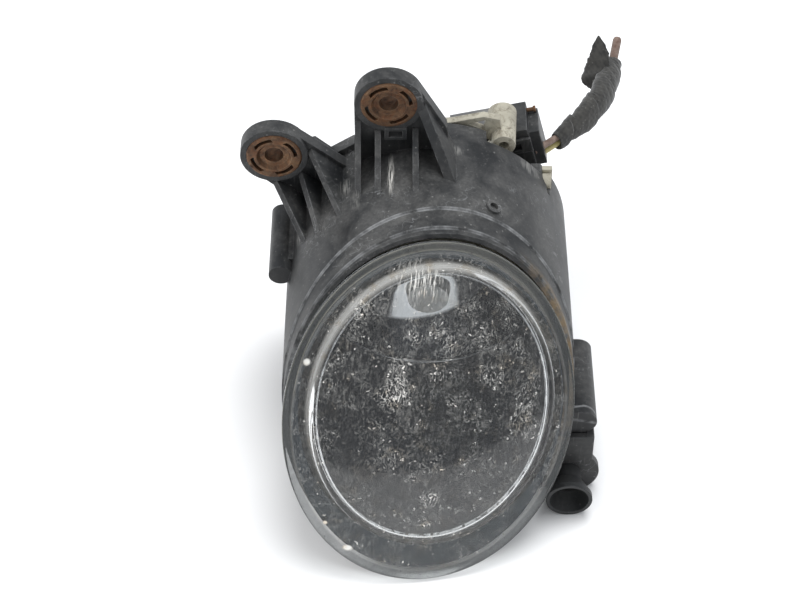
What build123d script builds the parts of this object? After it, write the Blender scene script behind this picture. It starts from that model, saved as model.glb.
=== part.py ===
from build123d import *
import math
import os

os.makedirs("parts", exist_ok=True)

# Fog lamp. The origin is on the rear seat of the upper bush, in the middle of its bore.
# The lamp shines towards -Y, +X is to the right as seen from in front, +Z is up.
# Places are given from the carrier's axis: right, up, and forward of its rear rim.

# ---- where the carrier's axis lies
axis_right = 14.5
axis_up = -75.3
seat_forward = 5.0

# ---- carrier tube
carrier_radius = 53.0
carrier_wall = 2.8
carrier_bore = carrier_radius - carrier_wall
step_depth = 0.6
step_rear = 16.3
step_front = 7.5
collar_gap_top = 1.5
collar_gap_bottom = 8.0
rim_notch_depth = 5.5
rim_notch_start = 21.5
rim_notch_low = 32.0

# ---- lens, leaning back as it rises and turned a little to one side
lens_forward = 96.0
lean_right = 0.135
lean_up = 0.655
lens_radius = 52.3
lens_edge = 3.0
dome_across = 43.8
dome_along = 51.6
dome_rise = 3.3
dome_step = 3.3
dome_height = 10.7
dome_wall = 3.0
bow_across = 101.0
bow_along = 138.0
seal_thickness = 1.0
seal_width = 4.0

# ---- cast body
flange_across = 48.0
flange_along = 53.4
flange_rise = 3.9
flange_thickness = 3.0
barrel_radius = 44.6
barrel_wall = 2.8
neck_radius = 30.5
neck_bore = 27.5
neck_back = -1.0
neck_forward = 12.0
cone_forward = 30.0
diaphragm_back = 2.0
diaphragm_thickness = 2.4
diaphragm_hole = 12.0

# ---- reflector and bulb
vertex_forward = 6.0
focal_length = 15.0
reflector_wall = 1.2
reflector_mouth = 34.0
reflector_hole = 7.0
reflector_base_radius = 21.0
screw_circle = 17.5
small_screw_radius = 1.5
small_head_radius = 2.8
small_head_height = 1.8
bulb_base_radius = 10.5
bulb_base_thickness = 1.2
bulb_radius = 4.5
shield_radius = 8.5
shield_forward = 40.0
clip_wire = 0.6
clip_half_width = 6.4
clip_forward = 1.2
clip_low = -17.0
clip_high = 8.6

# ---- pivots
pivot_up = 28.0
pivot_forward = 5.5
pivot_radius = 3.0
pivot_play = 0.05
pivot_reach = 46.2
pivot_root = 37.5

# ---- aim screw
aim_right = 52.2
aim_up = -45.0
guide_mouth = 100.0
guide_back = 84.0
guide_flare = 91.5
guide_radius = 5.1
guide_mouth_radius = 8.6
guide_wall = 1.3
screw_radius = 2.5
screw_tip_radius = 2.0
screw_head_radius = 3.5
running_play = 0.05
nut_forward = 66.0
nut_flange = 2.0
nut_side = 12.0
nut_groove = 4.0
nut_neck = 3.5
arm_thickness = 3.0
arch_thickness = 2.4
bearing_back = 47.0
bearing_thickness = 3.0
aim_wall = 2.6
wall_top = -24.7
wall_low = -52.0
bracket_gap = 0.02

# ---- ears and bushes
ear_back = 9.4
ear_thickness = 4.6
ear_boss = 8.6
ear_boss_back = 5.4
ear_radius = 12.4
bush_bore = 3.5
bush_barrel = 6.0
bush_flange = 10.2
bush_flange_thickness = 2.2
slot_circle = 8.0
slot_width = 1.4
slot_chord = 7.4
left_bush = (-56.5, 50.3)
left_turn = 48.3
window_right = 2.4
window_up = -13.4

# ---- rear cover and plug
cover_play = 0.5
cover_wall = 3.0
cover_front = 4.0
cover_back = -9.0
cover_inside = -7.0
bayonet_height = 1.9
bayonet_width = 9.0
cover_twist = 25.0
plug_turn = 13.8
plug_corner = (8.7, 33.0)
plug_front = -10.0
plug_depth = 16.0
plug_height = 20.0
socket_length = 17.0
plug_body_length = 12.5
plug_tail_length = 4.0
socket_wall = 2.2
plug_fit = 0.15
latch_up = -6.5

# ---- harness
wire_radius = 1.3
tape_radius = 3.9


def station(forward, right=0.0, up=0.0, turn=0.0):
    # a plane square to the carrier's axis, facing forward
    angle = math.radians(turn)
    return Plane(
        origin=(axis_right + right, seat_forward - forward, axis_up + up),
        x_dir=(math.cos(angle), 0, math.sin(angle)),
        z_dir=(0, -1, 0),
    )


def raked(forward, rise=lean_up):
    # a plane that crosses the axis at forward and leans back as it rises
    return Plane(
        origin=(axis_right, seat_forward - forward, axis_up),
        x_dir=(rise, 0, -lean_right),
        z_dir=(lean_right, -1, rise),
    )


def place(right, forward, up):
    return (axis_right + right, seat_forward - forward, axis_up + up)


def lean_stretch(rise=lean_up):
    # how much longer than its tube's radius a slanted cut is
    return math.sqrt(1 + lean_right**2 + rise**2)


def profile_plane(turn=0.0, right=0.0, up=0.0):
    # local x runs forward and local y runs outward, for profiles turned about an axis along Y
    angle = math.radians(turn)
    return Plane(
        origin=place(right, 0, up),
        x_dir=(0, -1, 0),
        z_dir=(-math.sin(angle), 0, math.cos(angle)),
    )


def long_axis(right=0.0, up=0.0):
    return Axis(place(right, 0, up), (0, -1, 0))


def write(part, name):
    part.label = name
    export_step(part, f"parts/{name}.step")


def turned(points, right=0.0, up=0.0, arc=360.0, turn=0.0):
    # a solid of revolution about an axis along Y; points are (forward, radius)
    with BuildPart() as solid:
        with BuildSketch(profile_plane(turn, right, up)):
            with BuildLine():
                Polyline(*points, close=True)
            make_face()
        revolve(axis=long_axis(right, up), revolution_arc=arc)
    return solid.part


# ---- carrier

def tube_hit(right, up, turn):
    # distance straight down the turned direction to the tube's outside
    angle = math.radians(turn)
    down = (math.sin(angle), -math.cos(angle))
    along = right * down[0] + up * down[1]
    return -along - math.sqrt(along**2 - (right**2 + up**2 - carrier_radius**2))


def gusset(centre, turn, offset, top, foot, thickness=2.2, lean=0.0):
    # one rib from the ear's front face down to the tube
    angle = math.radians(turn)
    right = centre[0] + offset * math.cos(angle)
    up = centre[1] + offset * math.sin(angle)
    fall = tube_hit(right, up, turn + lean)
    tilt = math.radians(turn + lean)
    sheet = Plane(
        origin=place(right, 0, up),
        x_dir=(0, -1, 0),
        z_dir=(-math.cos(tilt), 0, -math.sin(tilt)),
    )
    front = ear_back + ear_thickness
    with BuildSketch(sheet) as rib:
        with BuildLine():
            Polyline(
                (front - 3, -top),
                (front + 0.6, -top),
                (foot, -fall - 0.2),
                (foot + 1.2, -fall - 2.2),
                (front - 3, -fall - 2.2),
                close=True,
            )
        make_face()
    extrude(rib.sketch, amount=thickness / 2, both=True)


def ear_plate(centre, turn, outline):
    with BuildSketch(station(ear_back, centre[0], centre[1], turn)) as plate:
        Circle(ear_radius)
        with BuildLine():
            Polyline(*outline, close=True)
        make_face()
    extrude(plate.sketch, amount=ear_thickness)
    # a raised ring round the bush
    with BuildSketch(station(ear_back, centre[0], centre[1], turn)) as ring:
        Circle(ear_radius)
    extrude(ring.sketch, amount=ear_thickness + bush_flange_thickness - 0.6)
    # a boss round the bush's barrel, behind the plate
    with BuildSketch(station(ear_boss_back, centre[0], centre[1])) as boss:
        Circle(ear_boss)
    extrude(boss.sketch, amount=ear_back - ear_boss_back + 0.5)


def bush_seat(centre):
    with BuildSketch(station(ear_back + ear_thickness, centre[0], centre[1])) as recess:
        Circle(bush_flange)
    extrude(recess.sketch, amount=10, mode=Mode.SUBTRACT)
    with BuildSketch(station(0, centre[0], centre[1])) as hole:
        Circle(bush_barrel)
    extrude(hole.sketch, amount=ear_back + ear_thickness + 1, mode=Mode.SUBTRACT)


def make_carrier():
    reach = lens_forward + lean_up * carrier_radius + 10
    collar_rise = lean_up - (collar_gap_bottom - collar_gap_top) / (2 * carrier_radius)
    collar_forward = (
        lens_forward - lens_edge * lean_stretch() - (collar_gap_top + collar_gap_bottom) / 2
    )
    upper_bush = (-axis_right, -axis_up)
    with BuildPart() as carrier:
        # tube, cut off at a slant, with two small steps near its front
        with BuildSketch(station(0)):
            Circle(carrier_radius)
        extrude(amount=reach)
        split(bisect_by=raked(collar_forward, collar_rise), keep=Keep.BOTTOM)
        for number, start in enumerate((step_rear, step_front), start=1):
            radius = carrier_radius - number * step_depth
            with BuildSketch(raked(lens_forward - start)):
                Ellipse(carrier_radius + 5, (carrier_radius + 5) * lean_stretch())
                Ellipse(radius, radius * lean_stretch(), mode=Mode.SUBTRACT)
            extrude(amount=60, dir=(0, -1, 0), mode=Mode.SUBTRACT)

        # upper ear with its ribs
        ear_plate(
            upper_bush,
            0,
            [
                (-ear_radius, -29),
                (-ear_radius, 0),
                (10.9, 5.9),
                (21.0, -12.5),
                (22.4, -27),
            ],
        )
        gusset(upper_bush, 0, -11.2, 8.6, 33)
        gusset(upper_bush, 0, -4.0, 13.0, 37)
        gusset(upper_bush, 0, 9.6, 12.0, 37.5)
        gusset(upper_bush, 0, 10.9, 1.5, 31, thickness=3.6, lean=26)
        with BuildSketch(station(ear_back + ear_thickness - 1, upper_bush[0], upper_bush[1])):
            with Locations((window_right, window_up)):
                Rectangle(8.0, 5.4)
        extrude(amount=3.4)

        # left ear with its ribs
        ear_plate(
            left_bush,
            left_turn,
            [
                (-13.0, -30),
                (-12.2, 0),
                (12.2, 0),
                (12.6, -28),
            ],
        )
        gusset(left_bush, left_turn, -10.2, 8.5, 37)
        gusset(left_bush, left_turn, -0.6, 12.6, 42)
        gusset(left_bush, left_turn, 10.0, 8.5, 38.5)

        # low web between the ears, dipping in the middle
        with BuildSketch(station(2)):
            with BuildLine():
                Polyline(
                    (-46, 24),
                    (-47, 46),
                    (-41.9, 48),
                    (-36.1, 42.6),
                    (-27.5, 48.6),
                    (-24, 44),
                    close=True,
                )
            make_face()
        extrude(amount=5)

        # round boss on the left
        with BuildSketch(station(8, -54.6, 14)):
            Circle(4.45)
        extrude(amount=33)
        with BuildSketch(station(8, -51, 14)):
            Rectangle(7, 7)
        extrude(amount=28)

        # column on the right with a flat front end
        with BuildSketch(station(48, 56.2, -19)):
            Circle(5.6)
            with Locations((-5, 0)):
                Rectangle(10, 11.2)
        extrude(amount=36)

        # small ring on the tube's upper right
        bump = math.radians(64.5)
        bump_plane = Plane(
            origin=place((carrier_radius - 2) * math.cos(bump), 40, (carrier_radius - 2) * math.sin(bump)),
            x_dir=(0, -1, 0),
            z_dir=(math.cos(bump), 0, math.sin(bump)),
        )
        with BuildSketch(bump_plane):
            Circle(2.9)
        extrude(amount=3.1)
        with BuildSketch(bump_plane.offset(1.6)):
            Circle(1.6)
        extrude(amount=3, mode=Mode.SUBTRACT)

        # bore
        with BuildSketch(station(-5)):
            Circle(carrier_bore)
        extrude(amount=reach + 10, mode=Mode.SUBTRACT)

        # lower stretch of the rear rim on the upper right
        with BuildSketch(station(-1)):
            with BuildLine():
                Polyline(
                    (rim_notch_start, 40),
                    (rim_notch_start, 60),
                    (60, 60),
                    (60, rim_notch_low),
                    (38, rim_notch_low),
                    close=True,
                )
            make_face()
        extrude(amount=rim_notch_depth + 1, mode=Mode.SUBTRACT)

        # slots for the pivots, with a narrow relief ahead of each
        slot = pivot_radius + pivot_play
        for side in (-1, 1):
            side_plane = Plane(
                origin=place(side * 38, 0, pivot_up), x_dir=(0, -side, 0), z_dir=(side, 0, 0)
            )
            with BuildSketch(side_plane):
                with Locations((side * pivot_forward, 0)):
                    Circle(slot)
                with Locations((side * (pivot_forward / 2 - 1), 0)):
                    Rectangle(pivot_forward + 2, 2 * slot)
                with Locations((side * (pivot_forward + 4), 0)):
                    Rectangle(6, 2)
            extrude(amount=9.5, mode=Mode.SUBTRACT)

        # bushes' seats and the window under the upper one
        bush_seat(upper_bush)
        bush_seat(left_bush)
        with BuildSketch(station(-1, upper_bush[0] + window_right, upper_bush[1] + window_up)):
            Rectangle(5.0, 2.8)
        extrude(amount=24, mode=Mode.SUBTRACT)

        # window in the tube's wall for the lamp unit's arm
        with BuildSketch(station(nut_forward - 7, turn=aim_turn())):
            with Locations((48, 0)):
                Rectangle(14, 16.6)
        extrude(amount=14, mode=Mode.SUBTRACT)
    write(carrier.part, "carrier")


def make_aim_bracket():
    # walls round the aim screw: front arch, rear bearing wall and right wall, against the tube
    arch_front = guide_back + arch_thickness
    right_wall = aim_right + nut_side / 2 + 0.3
    with BuildPart() as bracket:
        with BuildSketch(station(guide_back, aim_right, aim_up)):
            Circle(11.8)
            with Locations((-8, 2)):
                Rectangle(16, 17)
            with Locations((2.5, 10)):
                Rectangle(11, 20)
            # no lower than the guide's mouth, so that the lamp stands on its tube
            with Locations((0, -guide_mouth_radius - 2.5)):
                Rectangle(26, 5, mode=Mode.SUBTRACT)
        extrude(amount=arch_thickness)
        with BuildSketch(station(bearing_back, aim_right, aim_up)):
            with Locations((-2, 7.15)):
                Rectangle(20, 26.3)
        extrude(amount=bearing_thickness)
        with BuildSketch(station(bearing_back, right_wall + aim_wall / 2, (wall_top + wall_low) / 2)):
            Rectangle(aim_wall, wall_top - wall_low)
        extrude(amount=arch_front - bearing_back)
        # room for the tube, the guide and the screw's tip
        with BuildSketch(station(bearing_back - 2)):
            Circle(carrier_radius + bracket_gap)
        extrude(amount=arch_front, mode=Mode.SUBTRACT)
        with BuildSketch(station(guide_back - 4, aim_right, aim_up)):
            Circle(guide_radius)
        extrude(amount=10, mode=Mode.SUBTRACT)
        with BuildSketch(station(bearing_back - 2, aim_right, aim_up)):
            Circle(screw_tip_radius + running_play)
        extrude(amount=8, mode=Mode.SUBTRACT)
    write(bracket.part, "aim_bracket")


def aim_turn():
    return math.degrees(math.atan2(aim_up, aim_right))


def make_bush(centre, name):
    face = ear_back + ear_thickness
    with BuildPart() as bush:
        with BuildSketch(station(seat_forward, centre[0], centre[1])):
            Circle(bush_barrel)
        extrude(amount=face - seat_forward)
        with BuildSketch(station(face, centre[0], centre[1])):
            Circle(bush_flange)
        extrude(amount=bush_flange_thickness)
        fillet(bush.faces().sort_by(Axis.Y)[0].outer_wire().edges(), radius=0.7)
        # four curved slots in the flange
        for middle in (30, 120, 210, 300):
            with BuildSketch(station(face, centre[0], centre[1], middle)):
                Circle(slot_circle + slot_width / 2)
                Circle(slot_circle - slot_width / 2, mode=Mode.SUBTRACT)
                with Locations((slot_circle, 0)):
                    Rectangle(slot_circle, slot_chord, mode=Mode.INTERSECT)
            extrude(amount=bush_flange_thickness, mode=Mode.SUBTRACT)
        # dished middle and bore
        with BuildSketch(station(face + bush_flange_thickness, centre[0], centre[1])):
            Circle(6.4)
        extrude(amount=-1.4, taper=40, mode=Mode.SUBTRACT)
        with BuildSketch(station(0, centre[0], centre[1])):
            Circle(bush_bore)
        extrude(amount=20, mode=Mode.SUBTRACT)
    write(bush.part, name)


def make_pivot_clips():
    # each clip closes its slot behind the pivot
    slot = pivot_radius + pivot_play
    back = 0.3
    front = pivot_forward - pivot_radius - 0.1
    with BuildPart() as clips:
        for side in (-1, 1):
            with BuildSketch(station(back, side * 44.6, pivot_up)):
                Rectangle(4.4, 2 * slot)
            extrude(amount=front - back)
    write(clips.part, "pivot_clips")


# ---- lens and its seal

def dome(inset):
    # bulged top of the lens, bowed differently across and along
    top = dome_step + dome_height
    crown = raked(lens_forward)
    middle = crown.origin + crown.y_dir * dome_rise
    bow_plane = Plane(origin=middle, x_dir=crown.x_dir, z_dir=crown.y_dir)
    # in this plane local x runs across the lens and local y runs back, into the lamp
    sagitta = bow_across - inset - math.sqrt((bow_across - inset) ** 2 - 50**2)
    with BuildPart() as solid:
        with BuildSketch(crown.offset(-8)):
            with Locations((0, dome_rise)):
                Ellipse(dome_across - inset, dome_along - inset)
        extrude(amount=top + 20)
        with BuildSketch(bow_plane):
            with BuildLine():
                ThreePointArc(
                    (-50, -(top - inset - sagitta)),
                    (0, -(top - inset)),
                    (50, -(top - inset - sagitta)),
                )
                Polyline(
                    (50, -(top - inset - sagitta)),
                    (50, bow_along - top),
                    (-50, bow_along - top),
                    (-50, -(top - inset - sagitta)),
                )
            make_face()
        revolve(
            axis=Axis(middle - crown.z_dir * (bow_along - top), crown.x_dir),
            mode=Mode.INTERSECT,
        )
    return solid.part


def make_lens():
    outside = dome(0)
    inside = dome(dome_wall)
    crown = raked(lens_forward)
    with BuildPart() as lens:
        add(outside)
        split(bisect_by=crown.offset(-lens_edge / 2), keep=Keep.TOP)
        with BuildSketch(crown.offset(-lens_edge)):
            Ellipse(lens_radius, lens_radius * lean_stretch())
        extrude(amount=lens_edge)
        add(inside, mode=Mode.SUBTRACT)
    write(lens.part, "lens")


def make_lens_seal():
    with BuildPart() as seal:
        with BuildSketch(raked(lens_forward).offset(-lens_edge - seal_thickness)):
            with Locations((0, flange_rise)):
                Ellipse(flange_across - 0.6, flange_along - 0.6)
                Ellipse(flange_across - 0.6 - seal_width, flange_along - 0.6 - 2.4, mode=Mode.SUBTRACT)
        extrude(amount=seal_thickness)
    write(seal.part, "lens_seal")


# ---- cast body

def make_lamp_housing():
    face = raked(lens_forward).offset(-lens_edge - seal_thickness)
    reach = lens_forward + lean_up * carrier_radius + 10
    inside = barrel_radius - barrel_wall
    with BuildPart() as housing:
        # barrel, cone and neck
        with BuildSketch(profile_plane()):
            with BuildLine():
                Polyline(
                    (neck_back, 0),
                    (neck_back, neck_radius),
                    (neck_forward, neck_radius),
                    (cone_forward, barrel_radius),
                    (reach, barrel_radius),
                    (reach, 0),
                    close=True,
                )
            make_face()
        revolve(axis=long_axis())
        split(bisect_by=face.offset(-flange_thickness), keep=Keep.BOTTOM)
        with BuildSketch(face.offset(-flange_thickness)):
            with Locations((0, flange_rise)):
                Ellipse(flange_across, flange_along)
        extrude(amount=flange_thickness)

        # arms that carry the two pivots, clear of the rear cover's skirt
        with BuildSketch(station(cover_front + 0.6)):
            for side in (-1, 1):
                with BuildLine():
                    Polyline(
                        (side * 20, 12),
                        (side * 39, pivot_up - 3),
                        (side * 39, pivot_up + 2.4),
                        (side * 16, 27),
                        close=True,
                    )
                make_face()
        extrude(amount=pivot_forward - cover_front + 2.4)
        for side in (-1, 1):
            with BuildSketch(
                Plane(
                    origin=place(side * pivot_root, pivot_forward, pivot_up),
                    x_dir=(0, -side, 0),
                    z_dir=(side, 0, 0),
                )
            ):
                Circle(pivot_radius)
            extrude(amount=pivot_reach - pivot_root)

        # arm for the aim nut, ending in a fork that is open downwards
        with BuildSketch(station(nut_forward - arm_thickness / 2)):
            with BuildLine():
                Polyline(
                    (31.0, -30.0),
                    (36.0, -24.0),
                    (aim_right - 2, aim_up + 10.5),
                    (aim_right + 5.7, aim_up + 10.5),
                    (aim_right + 5.7, aim_up - 5.5),
                    (aim_right - 7.2, aim_up - 5.5),
                    (aim_right - 7.2, aim_up + 4.5),
                    close=True,
                )
            make_face()
            with Locations((aim_right, aim_up + 3.6)):
                Circle(nut_neck + 0.4, mode=Mode.SUBTRACT)
            with Locations((aim_right, aim_up - 3.2)):
                Rectangle(2 * nut_neck + 0.8, 13.6, mode=Mode.SUBTRACT)
        extrude(amount=arm_thickness)

        # cast boss with its web, at the upper rear
        boss_right = 28.0
        boss_up = 43.9
        with BuildSketch(station(3, boss_right, boss_up)):
            Circle(4.4)
        extrude(amount=-18, taper=-3.5)
        with BuildSketch(station(-3, turn=57.4)):
            with Locations((42.3, 0)):
                Rectangle(14, 6)
        extrude(amount=12)
        with BuildSketch(station(5)):
            with BuildLine():
                Polyline((12, 24), (24.5, 41), (28.2, 38.5), (19, 22), close=True)
            make_face()
        extrude(amount=5)
        with BuildSketch(station(-4.5)):
            with BuildLine():
                Polyline(
                    (2.5, 49.4),
                    (2.5, 51.0),
                    (9, 51.4),
                    (20.5, 54.2),
                    (26.5, 52.6),
                    (28, 43.0),
                    (24.6, 41.2),
                    (17, 47.2),
                    (9, 49.6),
                    close=True,
                )
            make_face()
            with BuildLine():
                Polyline((14.8, 50.6), (21.2, 52.6), (20.8, 47.6), close=True)
            make_face(mode=Mode.SUBTRACT)
        extrude(amount=3)
        with BuildSketch(station(3, boss_right, boss_up)):
            Circle(1.9)
        extrude(amount=-12, mode=Mode.SUBTRACT)

        # lugs for the rear cover's bayonet
        for turn in (30, 150, 270):
            with BuildSketch(profile_plane(turn - bayonet_width / 2)):
                with BuildLine():
                    Polyline(
                        (0.4, neck_radius - 0.5),
                        (0.4, neck_radius + bayonet_height),
                        (2.8, neck_radius + bayonet_height),
                        (2.8, neck_radius - 0.5),
                        close=True,
                    )
                make_face()
            revolve(axis=long_axis(), revolution_arc=bayonet_width)

        # hollow in front, then the rear opening behind the diaphragm
        with BuildSketch(profile_plane()):
            with BuildLine():
                Polyline(
                    (diaphragm_back + diaphragm_thickness, 0),
                    (diaphragm_back + diaphragm_thickness, neck_bore),
                    (neck_forward + 1, neck_bore),
                    (cone_forward, inside),
                    (reach + 30, inside),
                    (reach + 30, 0),
                    close=True,
                )
            make_face()
        revolve(axis=long_axis(), mode=Mode.SUBTRACT)
        with BuildSketch(station(neck_back)):
            Circle(neck_bore)
        extrude(amount=diaphragm_back - neck_back, mode=Mode.SUBTRACT)
        with BuildSketch(station(diaphragm_back)):
            Circle(diaphragm_hole)
            with PolarLocations(screw_circle, 3, start_angle=90):
                Circle(small_screw_radius + 0.1)
        extrude(amount=diaphragm_thickness, mode=Mode.SUBTRACT)

        # two staples round the bulb clip's hinge bar
        bar = Plane(origin=place(-5, clip_forward, clip_low), x_dir=(0, -1, 0), z_dir=(1, 0, 0))
        for shift in (1.2, 6.8):
            with BuildSketch(bar.offset(shift)):
                with Locations((-0.3, 0)):
                    Rectangle(2.2, 2.8)
            extrude(amount=2)
        with BuildSketch(bar):
            Circle(clip_wire + running_play)
        extrude(amount=10, mode=Mode.SUBTRACT)
    write(housing.part, "lamp_housing")


# ---- reflector and bulb

def bowl_radius(forward):
    return math.sqrt(4 * focal_length * (forward - vertex_forward))


def make_reflector():
    base_back = diaphragm_back + diaphragm_thickness
    start = vertex_forward + reflector_hole**2 / (4 * focal_length)
    steps = 8
    inner = []
    for step in range(steps + 1):
        radius = reflector_hole + (bowl_radius(reflector_mouth) - reflector_hole) * step / steps
        inner.append((vertex_forward + radius**2 / (4 * focal_length), radius))
    rim = bowl_radius(reflector_mouth)
    lip = barrel_radius - barrel_wall - 0.15
    with BuildPart() as reflector:
        with BuildSketch(profile_plane()):
            with BuildLine():
                Spline(*inner)
                Polyline(
                    inner[-1],
                    (reflector_mouth + 1.0, rim),
                    (reflector_mouth + 1.0, lip),
                    (reflector_mouth - 0.6, lip),
                )
                outer = [(f - reflector_wall, r + reflector_wall * 0.5) for f, r in inner]
                Spline(*reversed(outer))
                Line((reflector_mouth - 0.6, lip), outer[-1])
                Line(outer[0], inner[0])
            make_face()
        revolve(axis=long_axis())
        # base plate behind the bowl, with the bulb's hole
        with BuildSketch(profile_plane()):
            with BuildLine():
                Polyline(
                    (base_back, reflector_hole),
                    (base_back, reflector_base_radius),
                    (vertex_forward + 5.4, reflector_base_radius),
                    (vertex_forward + 3.4, 16),
                    (start - 0.2, reflector_hole),
                    close=True,
                )
            make_face()
        revolve(axis=long_axis())
        with BuildSketch(station(base_back)):
            with PolarLocations(screw_circle, 3, start_angle=90):
                Circle(small_screw_radius)
        extrude(amount=4.0, mode=Mode.SUBTRACT)
    write(reflector.part, "reflector")


def make_reflector_screws():
    with BuildPart() as screws:
        with BuildSketch(station(diaphragm_back)):
            with PolarLocations(screw_circle, 3, start_angle=90):
                Circle(small_head_radius)
        extrude(amount=-small_head_height)
        with BuildSketch(station(diaphragm_back)):
            with PolarLocations(screw_circle, 3, start_angle=90):
                Circle(small_screw_radius)
        extrude(amount=diaphragm_thickness + 4.0)
        with BuildSketch(station(diaphragm_back - small_head_height)):
            with PolarLocations(screw_circle, 3, start_angle=90):
                Rectangle(3.6, 0.8)
                Rectangle(0.8, 3.6)
        extrude(amount=0.9, mode=Mode.SUBTRACT)
    write(screws.part, "reflector_screws")


def make_bulb():
    seat = diaphragm_back + diaphragm_thickness
    with BuildPart() as base:
        with BuildSketch(station(seat - bulb_base_thickness)):
            Circle(bulb_base_radius)
        extrude(amount=bulb_base_thickness)
        with BuildSketch(station(seat)):
            Circle(reflector_hole - 0.6)
        extrude(amount=3.0)
        with BuildSketch(station(seat + 3.0)):
            Circle(bulb_radius - 0.9)
        extrude(amount=-2.4, mode=Mode.SUBTRACT)
    write(base.part, "bulb_base")

    tip = vertex_forward + focal_length + 9
    shell = turned(
        [
            (seat + 0.6, 0),
            (seat + 0.6, bulb_radius - 1.0),
            (seat + 4.2, bulb_radius - 1.0),
            (seat + 5.2, bulb_radius),
            (tip - 2.5, bulb_radius),
            (tip - 0.8, bulb_radius - 1.6),
            (tip, 0.8),
            (tip, 0),
        ]
    )
    room = turned(
        [
            (seat + 6.0, 0),
            (seat + 6.0, bulb_radius - 1.0),
            (tip - 3.2, bulb_radius - 1.0),
            (tip - 1.8, bulb_radius - 2.6),
            (tip - 1.8, 0),
        ]
    )
    with BuildPart() as glass:
        add(shell)
        add(room, mode=Mode.SUBTRACT)
        with BuildSketch(station(seat)):
            with Locations((-2, 0), (2, 0)):
                Circle(0.45)
        extrude(amount=8, mode=Mode.SUBTRACT)
    write(glass.part, "bulb_glass")

    middle = vertex_forward + focal_length
    with BuildPart() as filament:
        with BuildSketch(station(seat + 0.8)):
            with Locations((-2, 0), (2, 0)):
                Circle(0.35)
        extrude(amount=middle - seat - 0.8)
        with BuildSketch(Plane(origin=place(-2.8, middle, 0), x_dir=(0, -1, 0), z_dir=(1, 0, 0))):
            Circle(0.6)
        extrude(amount=5.6)
    write(filament.part, "bulb_filament")

    with BuildPart() as terminal:
        with BuildSketch(station(seat - bulb_base_thickness)):
            Circle(4.6)
        extrude(amount=-3.0)
        with BuildSketch(station(seat - bulb_base_thickness - 3.0)):
            Rectangle(6.3, 0.8)
        extrude(amount=-4.4)
    write(terminal.part, "bulb_terminal")


def make_bulb_shield():
    # cap in front of the bulb on a strut that stands on the bowl
    back = shield_forward - 6
    with BuildPart() as shield:
        add(
            turned(
                [
                    (back, shield_radius),
                    (back, shield_radius - 0.8),
                    (shield_forward - 0.8, shield_radius - 1.6),
                    (shield_forward - 0.8, 0),
                    (shield_forward, 0),
                    (shield_forward, shield_radius - 1.0),
                ]
            )
        )
        foot = vertex_forward + 22**2 / (4 * focal_length) + 0.02
        with BuildSketch(
            Plane(origin=place(-1.5, 0, 0), x_dir=(0, -1, 0), z_dir=(1, 0, 0))
        ):
            with BuildLine():
                Polyline(
                    (foot + 0.45, -22.4),
                    (foot + 2.2, -22.4),
                    (back + 1.6, -shield_radius - 0.6),
                    (back + 1.6, -shield_radius + 0.45),
                    (back + 0.4, -shield_radius + 0.45),
                    (back + 0.4, -shield_radius - 0.6),
                    close=True,
                )
            make_face()
        extrude(amount=3.0)
    write(shield.part, "bulb_shield")


def make_bulb_clip():
    # spring wire: a hinge bar low on the diaphragm and a loop that presses on the bulb's base
    press = diaphragm_back + diaphragm_thickness - bulb_base_thickness - clip_wire - running_play
    route = []
    for side in (1, -1):
        leg = [
            place(side * clip_half_width, clip_forward, clip_low),
            place(side * clip_half_width, clip_forward, clip_low + 7.5),
            place(side * clip_half_width, press, clip_high),
        ]
        route += leg if side == 1 else leg[::-1]
    with BuildPart() as clip:
        with BuildLine() as path:
            FilletPolyline(*route, radius=1.5)
        with BuildSketch(Plane(origin=path.wire() @ 0, z_dir=path.wire() % 0)):
            Circle(clip_wire)
        sweep()
        with BuildSketch(Plane(origin=place(-clip_half_width, clip_forward, clip_low), z_dir=(1, 0, 0))):
            Circle(clip_wire)
        extrude(amount=2 * clip_half_width)
        with Locations(*(place(side * clip_half_width, clip_forward, clip_low) for side in (-1, 1))):
            Sphere(clip_wire)
    write(clip.part, "bulb_clip")


# ---- aim screw, nut and guide

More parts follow.
